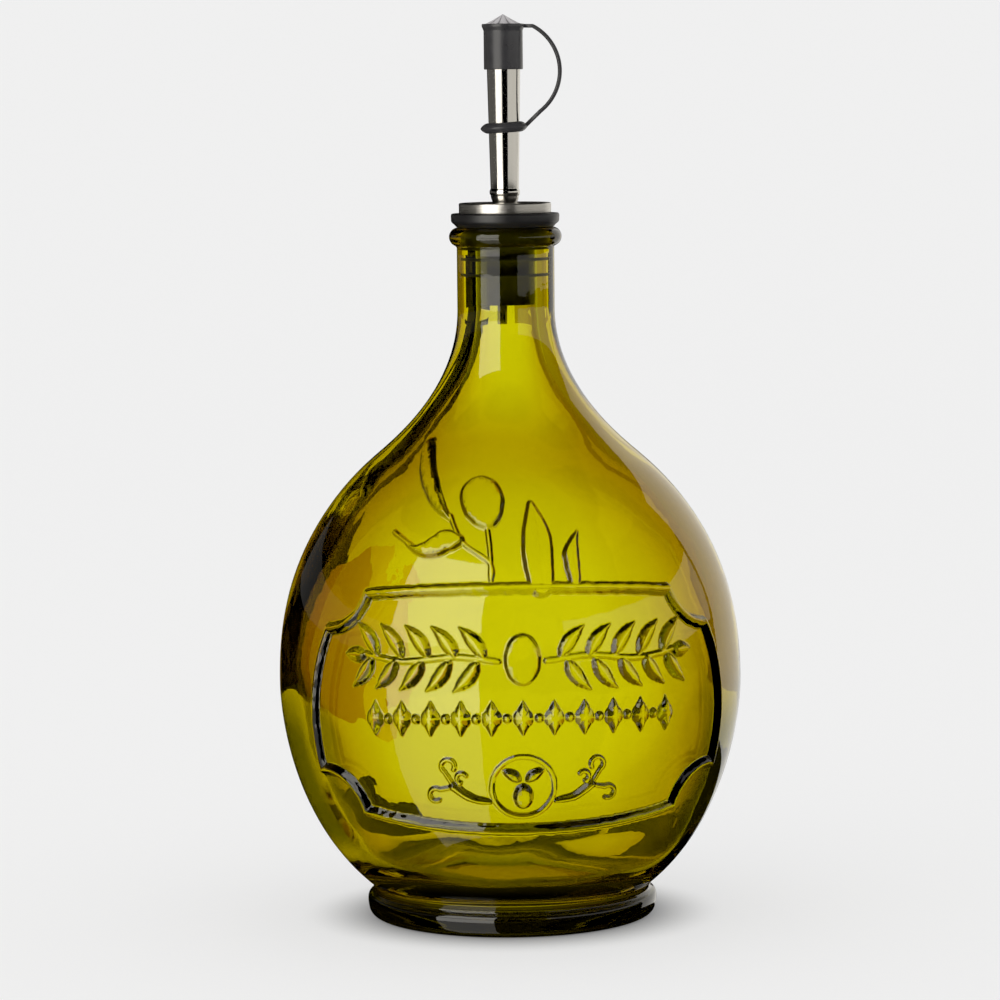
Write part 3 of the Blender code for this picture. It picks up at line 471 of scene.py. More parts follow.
def band(path, widths, rise, is_round=True, vein=False):
    """A raised shape: its middle line, its width at each point, how far it stands out and its section."""
    return {"path": path, "widths": widths, "rise": rise, "round": is_round, "vein": vein}


def leaf(base, tip, width, bend=0.0, steps=12, domed=False):
    path = bow(base, tip, bend, steps)
    swell = [math.sin(math.pi * (step / steps) ** 0.85) for step in range(steps + 1)]
    widths = [max(THIN_END, width * share) for share in swell]
    return band(path, widths, TWIG_RISE if domed else LEAF_RISE, domed)


def oval(centre, length, width, lean, egg=0.0, rise=LEAF_RISE, domed=False):
    """An oval fruit that leans from upright by an angle in degrees, wider at its top if egg is over 0."""
    up = (math.sin(math.radians(lean)), math.cos(math.radians(lean)))
    half = length / 2.0
    ends = [(centre[0] + up[0] * reach, centre[1] + up[1] * reach) for reach in (-half, half)]
    shape = band(ends, [width, width], rise, domed)
    shape["oval"] = (centre, up, half, width / 2.0, egg)
    return shape


def stem(points, width, rise):
    path = smooth_path(points, PATH_STEPS)
    return band(path, [width] * len(path), rise)


def tapered(points, widths, rise, is_round, vein=False):
    joined = smooth_path([(x, z, width) for (x, z), width in zip(points, widths)], PATH_STEPS)
    path = [point[:2] for point in joined]
    return band(path, [max(point[2], THIN_END) for point in joined], rise, is_round, vein)


def frame_shape():
    """The label's outline: bowed top, bottom and sides, with a hollow notch at each corner."""
    right = bow(TOP_CORNER, TOP_SIDE, TOP_NOTCH, 10)[:-1]
    right += bow(TOP_SIDE, BOTTOM_SIDE, SIDE_BOW, 16)[:-1]
    right += bow(BOTTOM_SIDE, BOTTOM_CORNER, BOTTOM_NOTCH, 10)[:-1]
    left = [mirrored(point, -1) for point in reversed(right)]
    top = bow(mirrored(TOP_CORNER, -1), TOP_CORNER, TOP_BOW, 24)[:-1]
    bottom = bow(BOTTOM_CORNER, mirrored(BOTTOM_CORNER, -1), BOTTOM_BOW, 24)
    path = top + right + bottom + left
    return band(path, [FRAME_WIDTH] * len(path), FRAME_RISE)


def garland_shapes():
    """A leafy stem on each side of an olive."""
    shapes = []
    for side in (-1, 1):
        points = [mirrored(point, side) for point in GARLAND_STEM]
        shapes.append(stem(points, GARLAND_STEM_WIDTH, STEM_RISE))
        for pair in range(GARLAND_PAIRS):
            for up, shift in ((1, 0.0), (-1, GARLAND_LOWER_SHIFT)):
                girth = GARLAND_FIRST + pair * GARLAND_STEP + shift
                base = (side * girth, GARLAND_HEIGHT)
                tip = (side * (girth + GARLAND_LEAF_REACH), GARLAND_HEIGHT + up * GARLAND_LEAF_RISE)
                shapes.append(leaf(base, tip, GARLAND_LEAF_WIDTH, side * up * GARLAND_LEAF_BEND, 8, True))
        base, tip = ((side * girth, GARLAND_HEIGHT) for girth in GARLAND_END_LEAF)
        shapes.append(leaf(base, tip, GARLAND_LEAF_WIDTH, 0.0, 8, True))
    shapes.append(oval(*GARLAND_OLIVE))
    return shapes


def lozenge_shapes():
    """A row of lozenges with a bead between each two."""
    shapes = []
    for place in range(-LOZENGES_EACH_SIDE, LOZENGES_EACH_SIDE + 1):
        girth = place * LOZENGE_STEP
        height = LOZENGE_HEIGHT - LOZENGE_SAG * girth * girth
        points = [(girth, height + reach) for reach in (-LOZENGE_REACH, 0.0, LOZENGE_REACH)]
        shapes.append(band(points, [THIN_END, LOZENGE_WIDTH, THIN_END], TWIG_RISE))
        if place < LOZENGES_EACH_SIDE:
            middle = (girth + LOZENGE_STEP / 2.0, height)
            shapes.append(oval(middle, BEAD_SIZE, BEAD_SIZE, 0.0, 0.0, BEAD_RISE, True))
    return shapes


def medallion_shapes():
    """A ring round an olive with two leaves, and a scroll on each side of it."""
    ring = arc((0.0, RING_HEIGHT), RING_RADIUS, 90, 450, 48)
    shapes = [band(ring, [RING_WIDTH] * len(ring), RING_RISE), oval(*MEDAL_OLIVE)]
    base, tip, width, bend = MEDAL_LEAF
    for side in (-1, 1):
        shapes.append(leaf(mirrored(base, side), mirrored(tip, side), width, side * bend))
        points = [mirrored(point, side) for point in SCROLL_STEM]
        shapes.append(tapered(points, SCROLL_STEM_WIDTHS, SCROLL_RISE, True))
        for centre, radius, start, end in SCROLL_CURLS:
            curl = [mirrored(point, side) for point in [SCROLL_ROOT] + arc(centre, radius, start, end, 18)]
            shapes.append(band(curl, [SCROLL_WIDTH] * len(curl), STEM_RISE))
    return shapes


def ornament_shapes():
    """Every raised shape on the front."""
    shapes = [frame_shape()]
    shapes += [tapered(points, widths, LEAF_RISE, False) for points, widths in SPRIG_LEAVES]
    shapes.append(oval(*SPRIG_OLIVE))
    shapes += [stem(points, STEM_WIDTH, STEM_RISE) for points in SPRIG_STEMS]
    shapes += [tapered(points, widths, LEAF_RISE, False, True) for points, widths in SPRIG_CUT_LEAVES]
    return shapes + garland_shapes() + lozenge_shapes() + medallion_shapes()


def band_distance(points, shape):
    """For points near a shape: signed distance to its edge, and its half width at the nearest place."""
    if "oval" in shape:
        centre, up, half_length, half_width, egg = shape["oval"]
        away = points - np.array(centre)
        lengthwise = away @ np.array(up) / half_length
        widest = half_width * (1.0 + egg * np.clip(lengthwise, -1.0, 1.0))
        sideways = away @ np.array((up[1], -up[0])) / widest
        size = np.maximum(np.hypot(lengthwise, sideways), 1e-6)
        steepness = np.hypot(lengthwise / half_length, sideways / half_width) / size
        return (size - 1.0) / steepness, np.full(len(points), half_width)
    path = np.array(shape["path"], float)
    halves = np.array(shape["widths"], float) / 2.0
    distance = np.full(len(points), 1e9)
    half_there = np.full(len(points), 1.0)
    for index in range(len(path) - 1):
        start, along = path[index], path[index + 1] - path[index]
        share = ((points - start) @ along) / max(along @ along, 1e-9)
        share = np.clip(share, 0.0, 1.0)
        half = halves[index] + (halves[index + 1] - halves[index]) * share
        gap = np.hypot(*(points - start - share[:, None] * along).T) - half
        closer = gap < distance
        distance[closer] = gap[closer]
        half_there[closer] = half[closer]
    return distance, half_there


def shape_rise(distance, half, shape):
    """Height of a raised shape over the glass, from the signed distance to its edge."""
    if shape["round"]:
        across = np.clip((distance + half) / (half + ROOF_OUTSIDE), 0.0, 1.0)
        lift = shape["rise"] * np.minimum(1.0, LEAST_ROUND_RISE + half / FULL_RISE_HALF_WIDTH)
        return lift * (1.0 - across**ROOF_POWER) ** ROOF_FOOT
    share = np.clip((EDGE_OUTSIDE - distance) / EDGE_WIDTH, 0.0, 1.0)
    lift = np.minimum(1.0, LEAST_FLAT_RISE + half / FULL_RISE_HALF_WIDTH) * shape["rise"]
    rise = lift * share * share * (3.0 - 2.0 * share)
    if shape["vein"]:
        inside = np.clip(-distance / VEIN_REACH, 0.0, 1.0)
        rise = rise - VEIN_DEPTH * inside * np.exp(-(((distance + half) / VEIN_WIDTH) ** 2))
    return rise


def near(points, shape, margin):
    """Which points lie in a shape's box, with a margin."""
    path = np.array(shape["path"], float)
    reach = max(shape["widths"]) / 2.0 + margin
    low, high = path.min(0) - reach, path.max(0) + reach
    return np.nonzero(np.all((points > low) & (points < high), axis=1))[0]


def ornament_rise(points, shapes):
    """Height of the ornament over the glass at points of (girth distance, height)."""
    rise = np.zeros(len(points))
    for shape in shapes:
        index = near(points, shape, 1.0)
        if len(index) == 0:
            continue
        wobble = np.array([noise.noise(Vector((x / EDGE_WOBBLE_LENGTH, z / EDGE_WOBBLE_LENGTH, 3.1)))
                           for x, z in points[index]])
        distance, half = band_distance(points[index], shape)
        distance = distance + EDGE_WOBBLE * wobble * np.minimum(1.0, half)
        rise[index] = np.maximum(rise[index], shape_rise(distance, half, shape))
    return rise


def ornament_shade(points, shapes):
    """Painted shade at each point, from 0 on plain glass to 1 on steep flanks that face up or to the left.
    """
    across = np.array((SLOPE_STEP, 0.0))
    upward = np.array((0.0, SLOPE_STEP))
    slopes = []
    for step in (across, upward):
        change = ornament_rise(points + step, shapes) - ornament_rise(points - step, shapes)
        slopes.append(change / (2.0 * SLOPE_STEP))
    steepness = np.hypot(*slopes)
    toward = (slopes[0] - slopes[1]) / (math.sqrt(2.0) * np.maximum(steepness, 1e-6))
    steep = np.clip((steepness - SHADE_FROM) / (SHADE_FULL - SHADE_FROM), 0.0, 1.0)
    return steep * (SHADE_MEAN + (1.0 - SHADE_MEAN) * toward)


def patch_points(shapes):
    """Points inside the patch: close together at the edges of shapes, and wide apart on plain glass."""
    heights = np.arange(PATCH_BOTTOM + FINE_STEP, PATCH_TOP, FINE_STEP)
    edge_angle = math.radians(COLUMN_DEGREES * PATCH_COLUMNS)
    found = []
    for row, height in enumerate(heights):
        reach = glass_radius(height) * edge_angle
        places = np.arange(-int(reach / FINE_STEP), int(reach / FINE_STEP) + 1)
        shift = 0.5 * (row % 2)
        girths = (places + shift) * FINE_STEP
        level = np.full(len(girths), height)
        found.append(np.column_stack([girths, level, places, np.full(len(girths), row)]))
    lattice = np.concatenate(found)
    points = lattice[:, :2]
    distance = np.full(len(points), 99.0)
    inside_round = np.zeros(len(points), bool)
    for shape in shapes:
        index = near(points, shape, NEAR_SHAPE + 0.5)
        gap, _ = band_distance(points[index], shape)
        distance[index] = np.where(np.abs(gap) < np.abs(distance[index]), gap, distance[index])
        if shape["round"] or shape["vein"]:
            inside_round[index[gap < 0.0]] = True
    fine = (np.abs(distance) < NEAR_EDGE) | inside_round
    on_middle = (lattice[:, 2] % MIDDLE_EVERY == 0) & (lattice[:, 3] % MIDDLE_EVERY == 0)
    on_coarse = (lattice[:, 2] % COARSE_EVERY == 0) & (lattice[:, 3] % COARSE_EVERY == 0)
    close = distance < NEAR_SHAPE
    kept = fine | (close & on_middle) | on_coarse
    room = np.abs(points[:, 0]) < glass_radius(points[:, 1]) * edge_angle - PATCH_MARGIN
    room &= (points[:, 1] > PATCH_BOTTOM + PATCH_MARGIN) & (points[:, 1] < PATCH_TOP - PATCH_MARGIN)
    return points[kept & room]


def on_outside(angles, heights, rises):
    """Points on the outside of the glass, lifted by the ornament and moved by the glass's own waves."""
    radii = glass_radius(heights)
    slopes = np.interp(heights, WALL_CURVE[:, 1], WALL_SLOPE)
    lengths = np.hypot(1.0, slopes)
    out = np.column_stack([np.sin(angles) / lengths, -np.cos(angles) / lengths, -slopes / lengths])
    base = np.column_stack([radii * np.sin(angles), -radii * np.cos(angles), heights])
    wave = np.array([waves(point, OUTER_WAVES, 11.0) for point in base])
    return base + out * (rises + wave)[:, None]


def moved_by_waves(points, angles, radius, height, layers, seed):
    """A ring of points moved by the glass's waves, which are deeper low down and behind the label."""
    shift = np.array([waves(point, layers, seed) for point in points])
    shift *= min(1.0, radius / WAVES_FULL_RADIUS) * (BASE_WAVES if height < BASE_WAVES_TOP else 1.0)
    if LABEL_LOW < height < LABEL_HIGH:
        away = np.minimum(np.degrees(angles), 360.0 - np.degrees(angles))
        share = np.clip((LABEL_REACH - away) / LABEL_FADE_ANGLE, 0.0, 1.0)
        share *= min(1.0, (height - LABEL_LOW) / LABEL_FADE_HEIGHT,
                     (LABEL_HIGH - height) / LABEL_FADE_HEIGHT)
        shift += share * np.array([waves(point, LABEL_WAVES, seed) for point in points])
    points[:, 0] += shift * np.sin(angles)
    points[:, 1] -= shift * np.cos(angles)
    return points


def join_rings(rings, patch_rows, columns):
    """Faces between each two rings, except inside the patch."""
    patch_ring_numbers = {number for number, _ in patch_rows}
    patch_quads = set(range(-PATCH_COLUMNS, PATCH_COLUMNS))
    faces = []
    for number in range(len(rings) - 1):
        low, high = rings[number], rings[number + 1]
        in_patch = number in patch_ring_numbers and number + 1 in patch_ring_numbers
        for column in range(columns):
            signed = column if column < columns / 2 else column - columns
            if in_patch and signed in patch_quads:
                continue
            following = (column + 1) % columns
            corners = [low[column], low[following], high[following], high[column]]
            faces.append(list(dict.fromkeys(corners)))
    return faces


def patch_border(rings, patch_rows, columns):
    """Points on the border of the patch, laid flat, and the numbers of their vertices."""
    border, numbers = [], []
    for number, level in patch_rows:
        whole_row = (number, level) in (patch_rows[0], patch_rows[-1])
        for signed in range(-PATCH_COLUMNS, PATCH_COLUMNS + 1):
            if whole_row or abs(signed) == PATCH_COLUMNS:
                border.append(Vector((math.radians(signed * COLUMN_DEGREES) * BELLY_RADIUS, level)))
                numbers.append(rings[number][signed % columns])
    return border, numbers


def glass_mesh():
    """The whole bottle as one closed skin, from the foot up its outside and down the hollow.

    Returns the vertices, the faces and the painted shade of each vertex on the ornament's flanks.
    """
    columns = 360 // COLUMN_DEGREES
    angles = np.radians(np.arange(columns) * COLUMN_DEGREES)
    vertices, rings = [], []

    def add_ring(points, kept=None):
        ring = {}
        for column in range(columns):
            if kept is None or column in kept:
                ring[column] = len(vertices)
                vertices.append(tuple(points[column]))
        rings.append(ring)

    def add_pole(height):
        rings.append({column: len(vertices) for column in range(columns)})
        vertices.append((0.0, 0.0, height))

    def add_profile(profile, layers, seed):
        for radius, height in profile:
            if radius == 0.0:
                add_pole(height)
                continue
            points = np.column_stack([radius * np.sin(angles), -radius * np.cos(angles),
                                      np.full(columns, height)])
            if layers:
                points = moved_by_waves(points, angles, radius, height, layers, seed)
            add_ring(points)

    add_profile(foot_profile(), (), 0.0)
    levels = wall_levels()
    patch_ring_columns = set(range(PATCH_COLUMNS, columns - PATCH_COLUMNS + 1))
    patch_rows = []
    for level in levels:
        points = on_outside(angles, np.full(columns, level), np.zeros(columns))
        inner_row = PATCH_BOTTOM + 1e-6 < level < PATCH_TOP - 1e-6
        add_ring(points, patch_ring_columns if inner_row else None)
        if PATCH_BOTTOM - 1e-6 <= level <= PATCH_TOP + 1e-6:
            patch_rows.append((len(rings) - 1, level))
    add_profile(lip_profile(), (), 0.0)
    add_profile(hollow_profile(), INNER_WAVES, 5.0)

    faces = join_rings(rings, patch_rows, columns)
    shapes = ornament_shapes()
    flat, index_of = patch_border(rings, patch_rows, columns)
    inside = patch_points(shapes)
    radii = glass_radius(inside[:, 1])
    flat += [Vector((girth / radius * BELLY_RADIUS, height))
             for (girth, height), radius in zip(inside, radii)]
    lifted = on_outside(inside[:, 0] / radii, inside[:, 1], ornament_rise(inside, shapes))
    first_new = len(vertices)
    vertices.extend(tuple(point) for point in lifted)
    shades = [0.0] * first_new + list(ornament_shade(inside, shapes))
    index_of += list(range(first_new, first_new + len(inside)))
    result = geometry.delaunay_2d_cdt(flat, [], [], 0, 1e-5)
    origins = [found[0] for found in result[3]]
    for triangle in result[2]:
        faces.append([index_of[origins[corner]] for corner in triangle])
    return vertices, faces, shades


# Materials

def new_material(name):
    material = bpy.data.materials.new(name)
    material.use_nodes = True
    tree = material.node_tree
    return material, tree, tree.nodes["Principled BSDF"]


def add_noise(tree, scale, detail=3.0, stretch=None):
    """A noise texture in object space, per metre, drawn out along an axis if stretch is given."""
    place = tree.nodes.new("ShaderNodeTexCoord")
    texture = tree.nodes.new("ShaderNodeTexNoise")
    texture.inputs["Scale"].default_value = scale
    texture.inputs["Detail"].default_value = detail
    if stretch is None:
        tree.links.new(place.outputs["Object"], texture.inputs["Vector"])
    else:
        mapping = tree.nodes.new("ShaderNodeMapping")
        mapping.inputs["Scale"].default_value = stretch
        tree.links.new(place.outputs["Object"], mapping.inputs["Vector"])
        tree.links.new(mapping.outputs["Vector"], texture.inputs["Vector"])
    return texture


def add_range(tree, source, low, high):
    """Turn a noise value into a value between two limits."""
    spread = tree.nodes.new("ShaderNodeMapRange")
    spread.inputs["From Min"].default_value = 0.3
    spread.inputs["From Max"].default_value = 0.7
    spread.inputs["To Min"].default_value = low
    spread.inputs["To Max"].default_value = high
    tree.links.new(source.outputs["Fac"], spread.inputs["Value"])
    return spread


def add_colours(tree, source, first, second):
    """A colour between two, chosen by a noise value."""
    ramp = tree.nodes.new("ShaderNodeValToRGB")
    ramp.color_ramp.elements[0].position = 0.3
    ramp.color_ramp.elements[1].position = 0.7
    ramp.color_ramp.elements[0].color = (*first, 1.0)
    ramp.color_ramp.elements[1].color = (*second, 1.0)
    tree.links.new(source.outputs["Fac"], ramp.inputs["Fac"])
    return ramp


def add_bump(tree, source, strength, distance):
    bump = tree.nodes.new("ShaderNodeBump")
    bump.inputs["Strength"].default_value = strength
    bump.inputs["Distance"].default_value = distance
    tree.links.new(source.outputs["Fac"], bump.inputs["Height"])
    return bump


def add_mix(tree, factor, first, second):
    """A linked colour that turns into a plain one as the factor rises to 1."""
    mix = tree.nodes.new("ShaderNodeMix")
    mix.data_type = "RGBA"
    tree.links.new(factor, mix.inputs["Factor"])
    tree.links.new(first, mix.inputs[6])
    mix.inputs[7].default_value = (*second, 1.0)
    return mix.outputs[2]


def add_fade(tree, source, empty, full):
    """A value that goes smoothly from 0 where the source is empty to 1 where it is full."""
    fade = tree.nodes.new("ShaderNodeMapRange")
    fade.interpolation_type = "SMOOTHSTEP"
    fade.inputs["From Min"].default_value = empty
    fade.inputs["From Max"].default_value = full
    tree.links.new(source, fade.inputs["Value"])
    return fade.outputs["Result"]


def add_product(tree, first, second):
    times = tree.nodes.new("ShaderNodeMath")
    times.operation = "MULTIPLY"
    tree.links.new(first, times.inputs[0])
    tree.links.new(second, times.inputs[1])
    return times.outputs[0]


def add_attribute(tree, name):
    """A value that is stored on the mesh."""
    attribute = tree.nodes.new("ShaderNodeAttribute")
    attribute.attribute_name = name
    return attribute.outputs["Fac"]


def glass_tint(tree, mottle):
    """The surface's colour: darker at a slant, with painted shade on the ornament's flanks, on the foot and
    at the slanted sides low down.
    """
    facing = tree.nodes.new("ShaderNodeLayerWeight")
    facing.inputs["Blend"].default_value = 0.5
    slant = facing.outputs["Facing"]
    place = tree.nodes.new("ShaderNodeTexCoord")
    parts = tree.nodes.new("ShaderNodeSeparateXYZ")
    tree.links.new(place.outputs["Object"], parts.inputs[0])
    height = parts.outputs["Z"]
    colour = add_colours(tree, mottle, *GLASS_TINTS).outputs["Color"]
    colour = add_mix(tree, add_fade(tree, slant, SLANT_START, SLANT_END), colour, SLANT_TINT)
    # Painted shade on the ornament's flanks
    colour = add_mix(tree, add_attribute(tree, "painted_flank_shade"), colour, FLANK_PAINTED_SHADE)
    # Painted shade on the foot
    foot = add_fade(tree, height, FOOT_SHADE_END * MM, FOOT_SHADE_FULL * MM)
    colour = add_mix(tree, foot, colour, FOOT_PAINTED_SHADE)
    # Painted shade at the slanted sides of the body low down
    heights = add_product(tree, add_fade(tree, height, RIM_TOP * MM, RIM_FULL * MM),
                          add_fade(tree, height, RIM_BOTTOM * MM, RIM_FULL_BOTTOM * MM))
    rim = add_product(tree, add_fade(tree, slant, RIM_START, RIM_END), heights)
    return add_mix(tree, rim, colour, LOW_RIM_PAINTED_SHADE)


def glass_material():
    """Olive glass, tinted and painted with shade at its surface, and taking up light inside."""
    material, tree, shader = new_material("olive_glass")
    shader.inputs["Transmission Weight"].default_value = 1.0
    shader.inputs["IOR"].default_value = GLASS_IOR
    mottle = add_noise(tree, GLASS_MOTTLE)
    tree.links.new(glass_tint(tree, mottle), shader.inputs["Base Color"])
    tree.links.new(add_range(tree, mottle, *GLASS_ROUGHNESS).outputs["Result"], shader.inputs["Roughness"])
    ripple = add_bump(tree, add_noise(tree, GLASS_RIPPLE, 2.0), RIPPLE_STRENGTH, RIPPLE_DEPTH)
    tree.links.new(ripple.outputs["Normal"], shader.inputs["Normal"])
    absorb = tree.nodes.new("ShaderNodeVolumeAbsorption")
    absorb.inputs["Color"].default_value = (*GLASS_COLOUR, 1.0)
    absorb.inputs["Density"].default_value = GLASS_DENSITY
    tree.links.new(absorb.outputs["Volume"], tree.nodes["Material Output"].inputs["Volume"])
    return material


def rubber_material(name, dark, light, smooth, rough):
    material, tree, shader = new_material(name)
    mottle = add_noise(tree, RUBBER_MOTTLE)
    tree.links.new(add_colours(tree, mottle, dark, light).outputs["Color"], shader.inputs["Base Color"])
    tree.links.new(add_range(tree, mottle, smooth, rough).outputs["Result"], shader.inputs["Roughness"])
    grain = add_bump(tree, add_noise(tree, RUBBER_GRAIN), RUBBER_BUMP, RUBBER_DEPTH)
    tree.links.new(grain.outputs["Normal"], shader.inputs["Normal"])
    return material


def steel_material(name, first, second, smooth, rough, stretch):
    material, tree, shader = new_material(name)
    shader.inputs["Metallic"].default_value = 1.0
    grain = add_noise(tree, 1.0, 4.0, stretch)
    tree.links.new(add_colours(tree, grain, first, second).outputs["Color"], shader.inputs["Base Color"])
    tree.links.new(add_range(tree, grain, smooth, rough).outputs["Result"], shader.inputs["Roughness"])
    bump = add_bump(tree, grain, STEEL_BUMP, STEEL_DEPTH)
    tree.links.new(bump.outputs["Normal"], shader.inputs["Normal"])
    return material


def crown_material():
    """Pale glossy crown with painted shade in its folds, which is stored on the mesh."""
    material, tree, shader = new_material("crown_pale")
    mottle = add_noise(tree, CROWN_MOTTLE)
    pale = add_colours(tree, mottle, *CROWN_COLOURS).outputs["Color"]
    colour = add_mix(tree, add_attribute(tree, "painted_fold_shade"), pale, CROWN_FOLD_PAINTED_SHADE)
    tree.links.new(colour, shader.inputs["Base Color"])
    tree.links.new(add_range(tree, mottle, *CROWN_ROUGHNESS).outputs["Result"], shader.inputs["Roughness"])
    bump = add_bump(tree, mottle, CROWN_BUMP, CROWN_DEPTH)
    tree.links.new(bump.outputs["Normal"], shader.inputs["Normal"])
    return material


# Pieces

def build_glass():
    vertices, faces, shades = glass_mesh()
    glass = make_object("bottle_glass", vertices, faces, glass_material())
    # Painted shade on the ornament's flanks, kept on the mesh
    attribute = glass.data.attributes.new("painted_flank_shade", "FLOAT", "POINT")
    attribute.data.foreach_set("value", shades)
    ride_for(glass, "glass_bottle")


def cut_holes(target, holes):
    """Cut round holes along Z, each (x, radius, bottom, top)."""
    cutters = []
    for x, radius, bottom, top in holes:
        vertices, faces = turned([(0.0, bottom), (radius, bottom), (radius, top), (0.0, top)], 32)
        vertices = [(vx + x, vy, vz) for vx, vy, vz in vertices]
        cutter = make_object("hole_cutter", vertices, faces, target.data.materials[0])
        change = target.modifiers.new("hole", "BOOLEAN")
        change.operation = "DIFFERENCE"
        change.solver = "EXACT"
        change.object = cutter
        cutters.append(cutter)
    bpy.context.view_layer.update()
    evaluated = target.evaluated_get(bpy.context.evaluated_depsgraph_get())
    mesh = bpy.data.meshes.new_from_object(evaluated)
    target.modifiers.clear()
    target.data = mesh
    mesh.shade_smooth()
    mesh.set_sharp_from_angle(angle=math.radians(40))
    for cutter in cutters:
        bpy.data.objects.remove(cutter, do_unlink=True)


def build_stopper():
    """Plug with fins and a flange, bored for the spout, the vent and the oil."""
    profile = [(0.0, PLUG_BOTTOM), (PLUG_CORE_RADIUS - 0.3, PLUG_BOTTOM)]
    profile += [(PLUG_CORE_RADIUS, PLUG_BOTTOM + 0.3)]
    for fin in range(FIN_COUNT):
        height = FIN_LOWEST + fin * FIN_SPACING
        profile += [(PLUG_CORE_RADIUS, height - FIN_HEIGHT / 2.0), (PLUG_FIN_RADIUS, height - 0.1)]
        profile += [(PLUG_FIN_RADIUS, height + 0.7), (PLUG_CORE_RADIUS, height + FIN_HEIGHT)]
    profile += [(PLUG_CORE_RADIUS, TIGHT_FROM - 0.5), (PLUG_FIN_RADIUS, TIGHT_FROM)]
    flange = [(PLUG_FIN_RADIUS, FLANGE_BOTTOM - 1.2), (PLUG_FIN_RADIUS + 0.7, FLANGE_BOTTOM - 0.2)]
    flange += [(PLUG_FIN_RADIUS + 1.0, FLANGE_BOTTOM)]
    flange += [(FLANGE_BOTTOM_RADIUS - 0.3, FLANGE_BOTTOM)]
    flange += [(FLANGE_BOTTOM_RADIUS + 0.2, FLANGE_BOTTOM + 0.7)]
    flange += [(FLANGE_TOP_RADIUS - 0.1, FLANGE_BOTTOM + 1.6), (FLANGE_TOP_RADIUS, FLANGE_TOP - 0.6)]
    flange += [(FLANGE_TOP_RADIUS - 0.2, FLANGE_TOP), (SPOUT_HOLE, FLANGE_TOP)]
    profile += rounded(flange, 0.5)
    profile += [(SPOUT_HOLE, WEB_TOP), (0.0, WEB_TOP)]
    vertices, faces = turned(profile, ROUND_SIDES)
    material = rubber_material("stopper_rubber", *STOPPER_FINISH)
    stopper = make_object("stopper_rubber", vertices, faces, material)
    cut_holes(stopper, ((VENT_X, VENT_RADIUS + 0.02, PLUG_BOTTOM - 1.0, WEB_TOP + 1.0),
                        (POUR_HOLE_X, POUR_HOLE_RADIUS, PLUG_BOTTOM - 1.0, WEB_TOP + 1.0)))
    ride_for(stopper, "stopper")


def build_disc():
    profile = [(SPOUT_ROOT_RADIUS - 0.05, DISC_BOTTOM), (DISC_RADIUS - DISC_EDGE, DISC_BOTTOM)]
    profile += arc((DISC_RADIUS - DISC_EDGE, DISC_BOTTOM + DISC_EDGE), DISC_EDGE, -90, 0, 5)[1:]
    profile += line((DISC_RADIUS, DISC_BOTTOM + DISC_EDGE), (DISC_RADIUS, DISC_TOP - DISC_EDGE), 3)[1:]
    profile += arc((DISC_RADIUS - DISC_EDGE, DISC_TOP - DISC_EDGE), DISC_EDGE, 0, 90, 6)[1:]
    profile += line((DISC_RADIUS - DISC_EDGE, DISC_TOP), (SPOUT_ROOT_RADIUS - 0.05, DISC_TOP), 8)[1:]
    vertices, faces = turned(profile, ROUND_SIDES, closed=True)
    material = steel_material("disc_steel", *DISC_FINISH)
    disc = make_object("disc_steel", vertices, faces, material)
    disc.data.set_sharp_from_angle(angle=math.radians(50))
    ride_for(disc, "pourer_disc")


def build_spout():
    """Thin tube that widens upwards, with a bead above its narrow root, open at both ends."""
    outer = [(SPOUT_ROOT_RADIUS, SPOUT_BOTTOM), (SPOUT_ROOT_RADIUS, DISC_TOP + 0.05)]
    waist = (SPOUT_LOW_RADIUS, SPOUT_BEAD_HEIGHT - 1.0)
    pull = SPOUT_BEAD_RADIUS + 0.1
    outer += bezier([(SPOUT_ROOT_RADIUS, DISC_TOP + 0.05), (SPOUT_ROOT_RADIUS + 0.3, DISC_TOP + 0.5),
                     (SPOUT_LOW_RADIUS - 0.05, DISC_TOP + 1.2), waist], 8)[1:]
    outer += bezier([waist, (pull, SPOUT_BEAD_HEIGHT - 0.7), (pull, SPOUT_BEAD_HEIGHT + 0.6),
                     (SPOUT_LOW_RADIUS, SPOUT_STRAIGHT_START)], 12)[1:]
    outer += line((SPOUT_LOW_RADIUS + 0.02, SPOUT_STRAIGHT_START + 0.3),
                  (SPOUT_TOP_RADIUS, CAP_BOTTOM + 1.0), 12)
    outer += [(SPOUT_TOP_RADIUS, SPOUT_TOP - 0.4), (SPOUT_TOP_RADIUS - 0.15, SPOUT_TOP)]
    inner = [(SPOUT_TOP_RADIUS - SPOUT_WALL, SPOUT_TOP), (SPOUT_TOP_RADIUS - SPOUT_WALL, CAP_BOTTOM + 1.0)]
    inner += [(SPOUT_LOW_RADIUS - SPOUT_WALL, SPOUT_STRAIGHT_START)]
    inner += [(SPOUT_ROOT_RADIUS - SPOUT_WALL, DISC_TOP), (SPOUT_ROOT_RADIUS - SPOUT_WALL, SPOUT_BOTTOM)]
    vertices, faces = turned(outer + inner, 64, closed=True)
    material = steel_material("spout_steel", *SPOUT_FINISH)
    spout = make_object("spout_steel", vertices, faces, material)
    spout.data.set_sharp_from_angle(angle=math.radians(60))
    ride_for(spout, "spout_tube")


def build_vent():
    profile = rounded([(VENT_BORE, VENT_TOP), (VENT_BORE, VENT_BOTTOM), (VENT_RADIUS, VENT_BOTTOM),
                       (VENT_RADIUS, VENT_TOP)], 0.15)
    vertices, faces = turned(profile, 40, closed=True)
    vertices = [(x + VENT_X, y, z) for x, y, z in vertices]
    material = steel_material("vent_steel", *VENT_FINISH)
    vent = make_object("vent_steel", vertices, faces, material)
    ride_for(vent, "vent_tube")


